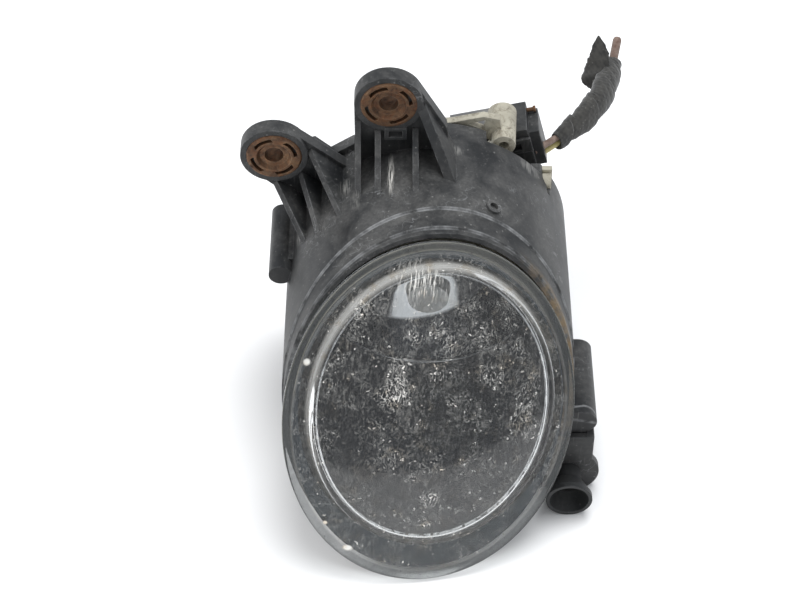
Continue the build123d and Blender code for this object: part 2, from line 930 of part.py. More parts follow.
def make_aim_pieces():
    with BuildPart() as guide:
        add(
            turned(
                [
                    (guide_back, screw_radius + running_play),
                    (guide_back, guide_radius),
                    (guide_flare, guide_radius),
                    (guide_mouth - 2, guide_mouth_radius),
                    (guide_mouth, guide_mouth_radius),
                    (guide_mouth, guide_mouth_radius - guide_wall),
                    (guide_flare + 1, guide_radius - guide_wall + 0.2),
                    (guide_back + 2, guide_radius - guide_wall + 0.2),
                    (guide_back + 2, screw_radius + running_play),
                ],
                aim_right,
                aim_up,
            )
        )
    write(guide.part, "adjuster_guide")

    head_back = guide_back + 2.3
    with BuildPart() as screw:
        with BuildSketch(station(44.5, aim_right, aim_up)):
            Circle(screw_tip_radius)
        extrude(amount=10)
        with BuildSketch(station(50.5, aim_right, aim_up)):
            Circle(screw_radius)
        extrude(amount=head_back - 50.5)
        with BuildSketch(station(head_back, aim_right, aim_up)):
            Circle(screw_head_radius)
        extrude(amount=4)
        with BuildSketch(station(head_back + 4, aim_right, aim_up)):
            Rectangle(4.6, 1.1)
            Rectangle(1.1, 4.6)
        extrude(amount=-2, mode=Mode.SUBTRACT)
    write(screw.part, "adjuster_screw")

    with BuildPart() as retainer:
        with BuildSketch(station(guide_back - 1.7, aim_right, aim_up)):
            Circle(5.2)
            Circle(screw_radius, mode=Mode.SUBTRACT)
        extrude(amount=1.4)
    write(retainer.part, "screw_retainer")

    length = nut_groove + 2 * nut_flange
    with BuildPart() as nut:
        with BuildSketch(station(nut_forward - length / 2, aim_right, aim_up)):
            Circle(nut_neck)
        extrude(amount=length)
        for back in (nut_forward - length / 2, nut_forward + nut_groove / 2):
            with BuildSketch(station(back, aim_right, aim_up)):
                RectangleRounded(nut_side, nut_side, 1.5)
            extrude(amount=nut_flange)
        with BuildSketch(station(nut_forward - length / 2, aim_right, aim_up)):
            Circle(screw_radius + running_play)
        extrude(amount=length, mode=Mode.SUBTRACT)
    write(nut.part, "adjuster_nut")


# ---- rear cover, its seal and vent

def make_rear_cover():
    skirt = neck_radius + cover_play
    outside = skirt + cover_wall
    ledge = neck_back - 1.45
    with BuildPart() as cover:
        add(
            turned(
                [
                    (cover_front, skirt),
                    (cover_front, outside),
                    (cover_back + 2.5, outside),
                    (cover_back, outside - 3),
                    (cover_back, 0),
                    (cover_inside, 0),
                    (cover_inside, neck_bore),
                    (ledge, neck_bore),
                    (ledge, skirt),
                ]
            )
        )
        # slots that hold the neck's lugs, each open to the front at its far end
        sweep = cover_twist + bayonet_width + 4
        for turn in (30, 150, 270):
            start = turn - bayonet_width / 2 - 2
            with BuildSketch(profile_plane(start)):
                with BuildLine():
                    Polyline(
                        (0.2, skirt - 1),
                        (0.2, neck_radius + bayonet_height + 0.3),
                        (3.0, neck_radius + bayonet_height + 0.3),
                        (3.0, skirt - 1),
                        close=True,
                    )
                make_face()
            revolve(axis=long_axis(), revolution_arc=sweep, mode=Mode.SUBTRACT)
            with BuildSketch(profile_plane(turn + cover_twist - bayonet_width / 2 - 2)):
                with BuildLine():
                    Polyline(
                        (0.2, skirt - 1),
                        (0.2, neck_radius + bayonet_height + 0.3),
                        (cover_front + 1, neck_radius + bayonet_height + 0.3),
                        (cover_front + 1, skirt - 1),
                        close=True,
                    )
                make_face()
            revolve(axis=long_axis(), revolution_arc=bayonet_width + 4, mode=Mode.SUBTRACT)
        with BuildSketch(station(cover_back)):
            with Locations((-13, -13)):
                Circle(2.4)
        extrude(amount=-3)
    write(cover.part, "rear_cover")

    with BuildPart() as seal:
        add(
            turned(
                [
                    (ledge, neck_bore + 0.4),
                    (ledge, neck_radius + 0.2),
                    (neck_back - 0.05, neck_radius - 0.3),
                    (neck_back - 0.05, neck_bore + 0.7),
                ]
            )
        )
    write(seal.part, "cover_seal")

    with BuildPart() as vent:
        with BuildSketch(station(cover_back - 0.2, -13, -13)):
            Circle(4.4)
            Circle(2.5, mode=Mode.SUBTRACT)
        extrude(amount=-2.8)
        with BuildSketch(station(cover_back - 3.0, -13, -13)):
            Circle(4.4)
        extrude(amount=-1.6)
    write(vent.part, "vent_cap")


# ---- rear connector

def plug_plane(forward):
    return station(forward, plug_corner[0], plug_corner[1], plug_turn)


def make_socket_block():
    room_width = plug_height - 2 * socket_wall
    room_depth = plug_depth - 2 * socket_wall
    room_length = 9.0
    with BuildPart() as socket:
        with BuildSketch(plug_plane(plug_front)):
            with Locations((socket_length / 2, -plug_height / 2)):
                Rectangle(socket_length, plug_height)
        extrude(amount=-plug_depth)
        # foot that joins the block to the cover's rear face
        with BuildSketch(station(cover_back)):
            with Locations((12, 17)):
                Rectangle(12, 9)
        extrude(amount=plug_front - cover_back)
        # nub for the latch
        with BuildSketch(plug_plane(plug_front)):
            with Locations((socket_length - 1.7, latch_up)):
                Rectangle(2.0, 3.0)
        extrude(amount=1.5)
        with BuildSketch(plug_plane(plug_front - socket_wall)):
            with Locations((socket_length - room_length / 2 + 0.5, -plug_height / 2)):
                Rectangle(room_length + 1, room_width)
        extrude(amount=-room_depth, mode=Mode.SUBTRACT)
    write(socket.part, "socket_block")

    with BuildPart() as pins:
        across = Plane(
            origin=plug_plane(plug_front - plug_depth / 2).from_local_coords(
                Vector(socket_length - room_length, -plug_height / 2, 0)
            ),
            x_dir=(0, -1, 0),
            z_dir=plug_plane(0).x_dir,
        )
        with BuildSketch(across):
            with Locations((0, -3.4), (0, 3.4)):
                Rectangle(0.8, 2.8)
        extrude(amount=6.5)
    write(pins.part, "socket_pins")

    with BuildPart() as plug:
        start = socket_length + 0.02
        with BuildSketch(plug_plane(plug_front)):
            with Locations((start + plug_body_length / 2, -plug_height / 2)):
                Rectangle(plug_body_length, plug_height)
        extrude(amount=-plug_depth)
        with BuildSketch(plug_plane(plug_front - 1.5)):
            with Locations((start + plug_body_length + plug_tail_length / 2, -plug_height / 2 - 1.5)):
                Rectangle(plug_tail_length, plug_height - 3)
        extrude(amount=-(plug_depth - 3))
        with BuildSketch(plug_plane(plug_front - socket_wall - plug_fit)):
            with Locations((start - (room_length - 1) / 2, -plug_height / 2)):
                Rectangle(room_length - 1, room_width - 2 * plug_fit)
        extrude(amount=-(room_depth - 2 * plug_fit))
        # holes for the pins
        with BuildSketch(across.offset(0.5)):
            with Locations((0, -3.4), (0, 3.4)):
                Rectangle(1.2, 3.2)
        extrude(amount=9, mode=Mode.SUBTRACT)
        # pad that carries the latch
        with BuildSketch(plug_plane(plug_front)):
            with Locations((start + plug_body_length - 2.0, latch_up)):
                Rectangle(3.0, 6)
        extrude(amount=0.5)
    write(plug.part, "harness_plug")

    with BuildPart() as latch:
        with BuildSketch(plug_plane(plug_front + 0.6)):
            with Locations((socket_length + 4.1, latch_up)):
                Rectangle(17.8, 6.4)
            with Locations((socket_length - 1.7, latch_up)):
                Rectangle(3.0, 3.8, mode=Mode.SUBTRACT)
            with Locations((socket_length + 6.0, latch_up)):
                Rectangle(6.0, 3.2, mode=Mode.SUBTRACT)
        extrude(amount=1.2)
    write(latch.part, "plug_latch")

    with BuildPart() as keeper:
        tail_face = socket_length + 0.02 + plug_body_length
        pin_plane = Plane(
            origin=plug_plane(plug_front - plug_depth + 3.2).from_local_coords(Vector(tail_face, -1.6, 0)),
            z_dir=plug_plane(0).x_dir,
        )
        with BuildSketch(pin_plane):
            Circle(0.8)
        extrude(amount=2.6)
        with BuildSketch(pin_plane.offset(2.6)):
            Circle(1.2)
        extrude(amount=0.9)
    write(keeper.part, "keeper_pin")


# ---- harness

def tube_along(points, radius, name):
    # straight runs joined by arcs as large as the runs allow
    route = [Vector(*place(*point)) for point in points]
    radii = []
    for before, here, after in zip(route, route[1:], route[2:]):
        turn = (here - before).get_angle(after - here)
        run = min((here - before).length, (after - here).length)
        radii.append(0.45 * run / math.tan(math.radians(turn / 2)))
    with BuildPart() as tube:
        with BuildLine() as path:
            FilletPolyline(*route, radius=radii)
        with BuildSketch(Plane(origin=path.wire() @ 0, z_dir=path.wire() % 0)):
            Circle(radius)
        sweep()
    length = path.wire().length
    ratio = tube.part.volume / (math.pi * radius**2 * length)
    print(name, "radii", [round(value, 1) for value in radii], "length", round(length, 1), round(ratio, 4))
    write(tube.part, name)


def make_harness():
    brown = [(40.8, -12.3, 26.8), (46.1, -15.9, 28.0), (50.85, -19.77, 28.07)]
    yellow = [(40.8, -12.9, 22.6), (46.1, -16.2, 24.4), (51.05, -19.95, 25.09)]
    wrap = [(49.5, -18.5, 26.4), (62.2, -30.4, 28.0), (70.8, -48.5, 27.2), (74.8, -68.0, 23.2)]
    tube_along(brown, wire_radius, "wire_brown")
    tube_along(yellow, wire_radius, "wire_yellow")
    tube_along(wrap, tape_radius, "tape_wrap")
    # cut end of the brown wire, sticking out of the tape
    tip = Vector(*place(*wrap[-1]))
    along = (tip - Vector(*place(*wrap[-2]))).normalized()
    with BuildPart() as stub:
        with BuildSketch(Plane(origin=tip, z_dir=along)):
            with Locations((0.8, 0)):
                Circle(wire_radius)
        extrude(amount=5.5)
    write(stub.part, "wire_stub")


def make_cover_contacts():
    # sprung button for the bulb's terminal and a ring for its earth, on the cover's inner face
    with BuildPart() as contacts:
        with BuildSketch(station(cover_inside)):
            Circle(3.0)
        extrude(amount=2.4)
        with BuildSketch(station(cover_inside)):
            Circle(22.0)
            Circle(20.0, mode=Mode.SUBTRACT)
        extrude(amount=1.5)
    write(contacts.part, "cover_contacts")


make_carrier()
make_aim_bracket()
make_bush((-axis_right, -axis_up), "upper_bush")
make_bush(left_bush, "left_bush")
make_pivot_clips()
make_lens()
make_lens_seal()
make_lamp_housing()
make_reflector()
make_reflector_screws()
make_bulb()
make_bulb_shield()
make_bulb_clip()
make_aim_pieces()
make_rear_cover()
make_socket_block()
make_harness()
make_cover_contacts()
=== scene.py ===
import bpy
import math
from mathutils import Vector, Matrix


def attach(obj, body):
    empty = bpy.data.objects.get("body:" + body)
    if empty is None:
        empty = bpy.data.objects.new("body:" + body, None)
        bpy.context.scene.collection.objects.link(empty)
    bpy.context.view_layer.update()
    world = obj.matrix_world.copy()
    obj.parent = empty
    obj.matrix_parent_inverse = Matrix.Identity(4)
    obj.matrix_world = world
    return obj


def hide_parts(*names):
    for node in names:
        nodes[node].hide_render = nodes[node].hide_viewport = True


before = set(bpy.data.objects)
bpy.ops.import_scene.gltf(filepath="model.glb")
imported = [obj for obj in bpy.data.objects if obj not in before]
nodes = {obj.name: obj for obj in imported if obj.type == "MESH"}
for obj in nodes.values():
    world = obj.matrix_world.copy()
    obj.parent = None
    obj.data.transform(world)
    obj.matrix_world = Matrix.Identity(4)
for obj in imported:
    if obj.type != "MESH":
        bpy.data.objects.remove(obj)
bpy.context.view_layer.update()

# Fog lamp. Places are given from the carrier's axis: right, forward of its rear rim, up, in millimetres.
axisRight = 14.5
axisUp = -75.3
seatForward = 5.0
mm = 0.001


def place(right, forward, up):
    return Vector((axisRight + right, seatForward - forward, axisUp + up)) * mm


studio = {
    "target": (0.0040, -0.0310, -0.0800),
    "elevation": 47.0,
    "distance": 0.800,
    "lens": 95.4,
    "floorUp": -0.1290,
    "floorSize": 1.6,
    "floorTint": (0.86, 0.86, 0.86),
    "skyTint": (0.92, 0.95, 1.0),
    "skyStrength": 0.60,
}

lamps = [  # name, place, size, power, colour, seen in reflections
    ("windowLeft", (-0.70, -0.30, 0.80), 0.55, 4.6, (1.0, 0.98, 0.95), False),
    ("ceilingPanel", (0.18, 0.22, 1.05), 0.80, 13.5, (0.98, 0.99, 1.0), False),
    ("frontFill", (0.35, -1.0, 0.35), 0.6, 1.5, (1.0, 0.99, 0.97), False),
]


def makeCamera():
    target = Vector(studio["target"])
    lift = math.radians(studio["elevation"])
    away = Vector((0, -math.cos(lift), math.sin(lift)))
    data = bpy.data.cameras.new("camera")
    data.lens = studio["lens"]
    data.sensor_width = 36
    data.clip_start = 0.02
    camera = bpy.data.objects.new("camera", data)
    camera.location = target + away * studio["distance"]
    camera.rotation_euler = (-away).to_track_quat("-Z", "Y").to_euler()
    bpy.context.scene.collection.objects.link(camera)
    bpy.context.scene.camera = camera


def makeLights():
    middle = Vector(studio["target"])
    for name, spot, size, power, hue, mirrored in lamps:
        data = bpy.data.lights.new(name, "AREA")
        data.shape = "DISK"
        data.size = size
        data.energy = power
        data.color = hue
        lamp = bpy.data.objects.new(name, data)
        lamp.location = spot
        lamp.rotation_euler = (middle - Vector(spot)).to_track_quat("-Z", "Y").to_euler()
        lamp.visible_glossy = mirrored
        lamp.visible_transmission = mirrored
        bpy.context.scene.collection.objects.link(lamp)
    world = bpy.data.worlds.new("sky")
    world.use_nodes = True
    back = world.node_tree.nodes["Background"]
    back.inputs["Color"].default_value = (*studio["skyTint"], 1)
    back.inputs["Strength"].default_value = studio["skyStrength"]
    bpy.context.scene.world = world


makeCamera()
makeLights()
bpy.context.scene.view_settings.view_transform = "Standard"
print("camera and lights are up")


def addMesh(name, points, faces, smooth=True):
    mesh = bpy.data.meshes.new(name)
    mesh.from_pydata([tuple(p) for p in points], [], faces)
    mesh.validate()
    mesh.polygons.foreach_set("use_smooth", [smooth] * len(mesh.polygons))
    mesh.update()
    piece = bpy.data.objects.new(name, mesh)
    bpy.context.scene.collection.objects.link(piece)
    return piece


def joinLoops(loops, closed=False, startPole=None, endPole=None):
    # quads between loops of equal count; a pole is one point that closes the first or last loop
    count = len(loops[0])
    points = [p for loop in loops for p in loop]
    faces = []
    pairs = list(zip(range(len(loops)), range(1, len(loops))))
    if closed:
        pairs.append((len(loops) - 1, 0))
    for a, b in pairs:
        for i in range(count):
            j = (i + 1) % count
            faces.append((a * count + i, a * count + j, b * count + j, b * count + i))
    if startPole is not None:
        points.append(startPole)
        faces += [((i + 1) % count, i, len(points) - 1) for i in range(count)]
    if endPole is not None:
        points.append(endPole)
        last = (len(loops) - 1) * count
        faces += [(last + i, last + (i + 1) % count, len(points) - 1) for i in range(count)]
    return points, faces


def curvePoints(name, control):
    # one smooth open curve through space, with the control points of the CAD route
    data = bpy.data.curves.new(name, "CURVE")
    data.dimensions = "3D"
    data.resolution_u = 24
    spline = data.splines.new("NURBS")
    spline.points.add(len(control) - 1)
    for point, spot in zip(spline.points, control):
        point.co = (*spot, 1)
    spline.order_u = 3
    spline.use_endpoint_u = True
    route = bpy.data.objects.new(name, data)
    bpy.context.scene.collection.objects.link(route)
    bpy.context.view_layer.update()
    line = bpy.data.meshes.new_from_object(route)
    spots = [v.co.copy() for v in line.vertices]
    bpy.data.meshes.remove(line)
    bpy.data.objects.remove(route)
    bpy.data.curves.remove(data)
    return spots


def evenly(spots, step):
    # the same line with points a step apart
    out = [spots[0].copy()]
    left = step
    for a, b in zip(spots, spots[1:]):
        run = (b - a).length
        at = 0.0
        while run - at >= left:
            at += left
            out.append(a.lerp(b, at / run))
            left = step
        left -= run - at
    if (out[-1] - spots[-1]).length > step * 0.3:
        out.append(spots[-1].copy())
    return out


def lengthOf(spots):
    return sum((b - a).length for a, b in zip(spots, spots[1:]))


def framesAlong(spots, side=Vector((0, 0, 1))):
    # point, tangent and two square directions that don't twist along the line
    out = []
    for i, spot in enumerate(spots):
        ahead = spots[min(i + 1, len(spots) - 1)] - spots[max(i - 1, 0)]
        ahead.normalize()
        side = (side - ahead * side.dot(ahead)).normalized()
        out.append((spot, ahead, side, ahead.cross(side)))
    return out


def tubeLoops(spots, around, radiusAt):
    # radiusAt gives the radius at a distance along and an angle around
    loops = []
    run = 0.0
    before = spots[0]
    for spot, ahead, side, other in framesAlong(spots):
        run += (spot - before).length
        before = spot
        loop = []
        for i in range(around):
            turn = 2 * math.pi * i / around
            r = radiusAt(run, turn)
            loop.append(spot + (side * math.cos(turn) + other * math.sin(turn)) * r)
        loops.append(loop)
    return loops


def wobble(x, seed=0.0):
    # a smooth wave without a period that shows
    return (
        math.sin(x * 1.0 + seed) * 0.5
        + math.sin(x * 2.3 + seed * 1.7 + 1.3) * 0.3
        + math.sin(x * 4.1 + seed * 0.6 + 0.4) * 0.2
    )


def put(tree, kind, inputs=None, **settings):
    node = tree.nodes.new(kind)
    for key, value in settings.items():
        setattr(node, key, value)
    for key, value in (inputs or {}).items():
        socket = node.inputs[key]
        if isinstance(value, bpy.types.NodeSocket):
            tree.links.new(value, socket)
        else:
            socket.default_value = value
    return node


def calc(tree, operation, a, b=0.0, c=None, clamp=False):
    inputs = {0: a, 1: b}
    if c is not None:
        inputs[2] = c
    return put(tree, "ShaderNodeMath", inputs, operation=operation, use_clamp=clamp).outputs[0]


def times(tree, a, b, c=None, clamp=False):
    return calc(tree, "MULTIPLY", a, b, c, clamp)


def remap(tree, value, low, high, toLow=0.0, toHigh=1.0):
    inputs = {"Value": value, "From Min": low, "From Max": high, "To Min": toLow, "To Max": toHigh}
    return put(tree, "ShaderNodeMapRange", inputs, clamp=True).outputs["Result"]


def tint(tree, factor, a, b, blend="MIX"):
    a = (*a, 1) if isinstance(a, tuple) else a
    b = (*b, 1) if isinstance(b, tuple) else b
    inputs = {0: factor, 6: a, 7: b}
    return put(tree, "ShaderNodeMix", inputs, data_type="RGBA", blend_type=blend).outputs[2]


def noise(tree, where, scale, detail=3.0, rough=0.5, warp=0.0):
    inputs = {"Vector": where, "Scale": scale, "Detail": detail, "Roughness": rough, "Distortion": warp}
    return put(tree, "ShaderNodeTexNoise", inputs).outputs["Fac"]


def patches(tree, where, scale, detail, rough, low, high, warp=0.0):
    return remap(tree, noise(tree, where, scale, detail, rough, warp), low, high)


def laid(tree, colour, top, mask, strength):
    return tint(tree, times(tree, mask, strength), colour, top)


def vec(tree, operation, a, b=None):
    inputs = {0: a} if b is None else {0: a, 1: b}
    node = put(tree, "ShaderNodeVectorMath", inputs, operation=operation)
    return node.outputs["Value" if operation in ("LENGTH", "DOT_PRODUCT") else 0]


def axis(tree, where, name):
    return put(tree, "ShaderNodeSeparateXYZ", {0: where}).outputs[name]


def objectSpace(tree):
    return put(tree, "ShaderNodeTexCoord").outputs["Object"]


def stretched(tree, where, scale=(1, 1, 1), turn=(0, 0, 0), move=(0, 0, 0)):
    inputs = {"Vector": where, "Location": move, "Rotation": turn, "Scale": scale}
    return put(tree, "ShaderNodeMapping", inputs).outputs["Vector"]


def newGroup(name, inputs, outputs):
    group = bpy.data.node_groups.new(name, "ShaderNodeTree")
    for key, value in inputs.items():
        socket = group.interface.new_socket(key, in_out="INPUT", socket_type="NodeSocketFloat")
        socket.default_value = value
    for key in outputs:
        group.interface.new_socket(key, in_out="OUTPUT", socket_type="NodeSocketFloat")
    return group, put(group, "NodeGroupInput").outputs, put(group, "NodeGroupOutput").inputs


def useGroup(tree, name, **values):
    node = put(tree, "ShaderNodeGroup", node_tree=bpy.data.node_groups[name])
    for key, value in values.items():
        socket = node.inputs[key]
        if isinstance(value, bpy.types.NodeSocket):
            tree.links.new(value, socket)
        else:
            socket.default_value = value
    return node.outputs[0]


def makeEdgeWear():
    # bright where a raised edge has been rubbed
    group, given, result = newGroup("edgeWear", {"Width": 0.0006, "Breakup": 0.5}, ["Mask"])
    rounded = put(group, "ShaderNodeBevel", {"Radius": given["Width"]}, samples=4)
    plain = put(group, "ShaderNodeNewGeometry").outputs["Normal"]
    facing = vec(group, "DOT_PRODUCT", rounded.outputs[0], plain)
    edge = remap(group, facing, 0.995, 0.80)
    bare = put(group, "ShaderNodeAmbientOcclusion", {"Distance": 0.002}, samples=4, only_local=True)
    edge = times(group, edge, remap(group, bare.outputs["AO"], 0.55, 0.95))
    patches = noise(group, objectSpace(group), 260, 4, 0.6)
    cut = remap(group, patches, times(group, given["Breakup"], 0.75), 0.75)
    group.links.new(times(group, edge, cut, clamp=True), result["Mask"])


def makeDustFilm():
    # settled dust: more on faces that look up, in patches, with finer grit in it
    group, given, result = newGroup("dustFilm", {"Scale": 60.0, "Amount": 0.5, "Upward": 0.5}, ["Mask"])
    where = objectSpace(group)
    normal = put(group, "ShaderNodeNewGeometry").outputs["Normal"]
    up = axis(group, normal, "Z")
    lift = remap(group, up, -0.4, 0.9)
    lift = calc(group, "MULTIPLY_ADD", lift, given["Upward"], calc(group, "SUBTRACT", 1.0, given["Upward"]))
    patches = remap(group, noise(group, where, given["Scale"], 6, 0.62, 0.4), 0.36, 0.68)
    grit = noise(group, where, times(group, given["Scale"], 14.0), 2, 0.6)
    mask = times(group, patches, remap(group, grit, 0.25, 0.7, 0.45, 1.0))
    mask = times(group, mask, lift)
    group.links.new(times(group, mask, given["Amount"], clamp=True), result["Mask"])


def makeSpecks():
    # separate grains of one size; Density is the share of cells that hold one
    names = {"Scale": 400.0, "Density": 0.3, "Size": 0.3, "Ragged": 0.3}
    group, given, result = newGroup("specks", names, ["Mask"])
    where = objectSpace(group)
    bent = put(group, "ShaderNodeTexNoise", {"Vector": where, "Scale": times(group, given["Scale"], 1.7)})
    half = (0.5, 0.5, 0.5)
    offset = vec(group, "SUBTRACT", bent.outputs["Color"], half)
    reach = calc(group, "DIVIDE", given["Ragged"], given["Scale"])
    offset = put(group, "ShaderNodeVectorMath", {0: offset, "Scale": reach}, operation="SCALE").outputs[0]
    moved = vec(group, "ADD", where, offset)
    cell = put(group, "ShaderNodeTexVoronoi", {"Vector": moved, "Scale": given["Scale"], "Randomness": 1.0})
    pick = put(group, "ShaderNodeSeparateColor", {0: cell.outputs["Color"]}).outputs[0]
    chosen = calc(group, "LESS_THAN", pick, given["Density"])
    inside = remap(group, cell.outputs["Distance"], given["Size"], times(group, given["Size"], 0.6))
    group.links.new(times(group, chosen, inside, clamp=True), result["Mask"])


def makeSquiggles():
    # thin curling marks that dried water and grit leave, as contour lines of a noise
    names = {"Scale": 600.0, "Thin": 0.03, "Patches": 0.5}
    group, given, result = newGroup("squiggles", names, ["Mask"])
    where = objectSpace(group)
    level = noise(group, where, given["Scale"], 2, 0.5, 0.6)
    line = calc(group, "ABSOLUTE", calc(group, "SUBTRACT", level, 0.5))
    line = remap(group, line, given["Thin"], 0.0)
    area = noise(group, where, times(group, given["Scale"], 0.23), 3, 0.6)
    area = remap(group, area, given["Patches"], calc(group, "ADD", given["Patches"], 0.16))
    group.links.new(times(group, line, area, clamp=True), result["Mask"])


def makeMouldGrain():
    # faint orange-peel and pits of moulded or cast surfaces, as a height
    group, given, result = newGroup("mouldGrain", {"Scale": 900.0, "Pits": 0.3}, ["Height"])
    where = objectSpace(group)
    fine = noise(group, where, given["Scale"], 3, 0.6)
    broad = noise(group, where, times(group, given["Scale"], 0.11), 2, 0.5)
    cell = put(group, "ShaderNodeTexVoronoi", {"Vector": where, "Scale": times(group, given["Scale"], 0.5)})
    pits = remap(group, cell.outputs["Distance"], 0.0, 0.35)
    pits = times(group, pits, given["Pits"])
    total = calc(group, "ADD", times(group, fine, 0.5), times(group, broad, 0.6))
    group.links.new(calc(group, "ADD", total, pits), result["Height"])


makeEdgeWear()
makeDustFilm()
makeSpecks()
makeSquiggles()
makeMouldGrain()


def newMaterial(name):
    material = bpy.data.materials.new(name)
    material.use_nodes = True
    tree = material.node_tree
    tree.nodes.clear()
    shader = put(tree, "ShaderNodeBsdfPrincipled")
    output = put(tree, "ShaderNodeOutputMaterial")
    tree.links.new(shader.outputs[0], output.inputs[0])
    return material, tree, shader


def feed(tree, shader, **values):
    names = {"colour": "Base Color", "rough": "Roughness", "metal": "Metallic", "normal": "Normal"}
    names.update({"specular": "Specular IOR Level", "clear": "Transmission Weight", "alpha": "Alpha"})
    names.update({"index": "IOR", "sheen": "Sheen Weight"})
    for key, value in values.items():
        socket = shader.inputs[names[key]]
        if isinstance(value, bpy.types.NodeSocket):
            tree.links.new(value, socket)
        elif isinstance(value, tuple):
            socket.default_value = (*value, 1)
        else:
            socket.default_value = value


def bumped(tree, height, strength=0.3, distance=0.0002, rounding=0.0004):
    base = put(tree, "ShaderNodeBevel", {"Radius": rounding}, samples=4).outputs[0]
    inputs = {"Height": height, "Strength": strength, "Distance": distance, "Normal": base}
    return put(tree, "ShaderNodeBump", inputs).outputs[0]


def spotMask(tree, middle, size, soft=0.6, where=None):
    # 1 inside an ellipsoid about a point of the object, fading out
    scale = tuple(1 / s for s in size)
    where = vec(tree, "SUBTRACT", where or objectSpace(tree), tuple(middle))
    where = vec(tree, "MULTIPLY", where, scale)
    far = vec(tree, "LENGTH", where)
    return remap(tree, far, 1.0, 1.0 - soft)


def lensHeight(tree):
    # distance in front of the lens's rim plane
    spot = place(0, lensShape["forward"], 0)
    where = vec(tree, "SUBTRACT", objectSpace(tree), tuple(spot))
    return vec(tree, "DOT_PRODUCT", where, tuple(lensFrame().col[2].xyz))


lensShape = {
    "forward": 96.0,
    "leanRight": 0.135,
    "leanUp": 0.655,
    "rim": (52.3, 62.9),
    "edge": 3.0,
    "dome": (43.8, 51.6),
    "rise": 3.3,
    "top": 14.0,
    "wall": 3.0,
    "bowAcross": 101.0,
    "bowAlong": 138.0,
    "around": 320,
    "shoulder": 1.5,
    "foot": 0.9,
    "filmGap": 0.05,
}


def lensFrame():
    z = Vector((lensShape["leanRight"], -1, lensShape["leanUp"])).normalized()
    x = Vector((lensShape["leanUp"], 0, -lensShape["leanRight"])).normalized()
    y = z.cross(x)
    turn = Matrix((x, y, z)).transposed().to_4x4()
    return Matrix.Translation(place(0, lensShape["forward"], 0)) @ turn


plastic = {
    "body": (0.010, 0.011, 0.012),
    "faded": (0.036, 0.037, 0.038),
    "dust": (0.25, 0.245, 0.235),
    "rubbed": (0.26, 0.265, 0.27),
    "dirt": (0.20, 0.145, 0.085),
    "stain": (0.52, 0.51, 0.48),
}

stains = [  # place, half sizes, strength
    ((-13.8, 26.0, 51.2), (1.5, 12.0, 3.0), 1.0),
    ((-30.2, 25.0, 43.5), (3.0, 5.0, 3.5), 0.30),
    ((-26.4, 34.0, 46.0), (2.5, 6.0, 3.0), 0.20),
    ((-47.5, 30.0, 23.6), (2.5, 5.0, 5.0), 0.45),
    ((37.9, 8.0, 37.1), (6.0, 4.0, 6.0), 0.25),
    ((8.5, 14.4, 52.3), (5.0, 3.0, 3.0), 0.30),
]


collarSteps = {"places": [(16.3, 0.75), (7.5, 0.55)], "stretch": 1.203}  # back from the lens, strength


def blackPlasticLook(name, dust, wear, gapDirt=False, fade=0.6):
    material, tree, shader = newMaterial(name)
    where = objectSpace(tree)
    tone = patches(tree, where, 34, 4, 0.55, 0.35, 0.68, 0.3)
    colour = tint(tree, times(tree, tone, fade), plastic["body"], plastic["faded"])
    film = useGroup(tree, "dustFilm", Scale=55, Amount=dust, Upward=0.55)
    colour = tint(tree, film, colour, plastic["dust"])
    grit = useGroup(tree, "specks", Scale=520, Density=0.10, Size=0.22, Ragged=0.5)
    colour = tint(tree, times(tree, grit, dust * 1.1, clamp=True), colour, plastic["dust"])
    worn = useGroup(tree, "edgeWear", Width=0.0007, Breakup=0.55)
    colour = laid(tree, colour, plastic["rubbed"], worn, wear)
    streakSpace = stretched(tree, where, (900, 900, 60))
    streak = remap(tree, noise(tree, streakSpace, 1.0, 3, 0.6), 0.60, 0.74)
    colour = tint(tree, times(tree, streak, dust * 0.55), colour, plastic["dust"])
    rough = remap(tree, tone, 0, 1, 0.42, 0.60)
    rough = calc(tree, "ADD", rough, times(tree, film, 0.35), clamp=True)
    if gapDirt:
        # pale streaks below the small window and at the feet of the ribs
        lines = remap(tree, noise(tree, stretched(tree, where, (2400, 160, 700)), 1.0, 3, 0.6), 0.42, 0.60)
        for spot, size, strength in stains:
            stain = times(tree, spotMask(tree, place(*spot), tuple(s * mm for s in size)), strength)
            colour = tint(tree, times(tree, stain, lines, clamp=True), colour, plastic["stain"])
        # short curling scuffs, here and there
        scuff = useGroup(tree, "squiggles", Scale=230, Thin=0.016, Patches=0.50)
        colour = laid(tree, colour, plastic["rubbed"], scuff, 0.55)
        # pale line of dust along the two steps in front
        for start, strength in collarSteps["places"]:
            level = calc(tree, "ADD", lensHeight(tree), start / collarSteps["stretch"] * mm)
            line = remap(tree, calc(tree, "ABSOLUTE", level), 0.00055, 0.00015)
            broken = patches(tree, where, 130, 4, 0.65, 0.38, 0.60)
            line = times(tree, times(tree, line, broken), strength)
            colour = tint(tree, line, colour, plastic["rubbed"])
        # brown grit caught between collar and lens, on one side
        near = remap(tree, calc(tree, "ABSOLUTE", calc(tree, "ADD", lensHeight(tree), 0.0050)), 0.0036, 0.0016)
        side = axis(tree, where, "X")
        rightSide = remap(tree, side, 0.046, 0.060)
        patch = patches(tree, where, 240, 4, 0.65, 0.36, 0.58)
        caught = times(tree, times(tree, near, rightSide), patch, clamp=True)
        colour = laid(tree, colour, plastic["dirt"], caught, 0.85)
    height = useGroup(tree, "mouldGrain", Scale=1500, Pits=0.12)
    feed(tree, shader, colour=colour, rough=rough, normal=bumped(tree, height, 0.16, 0.00012, 0.0005))
    feed(tree, shader, specular=0.42)
    return material


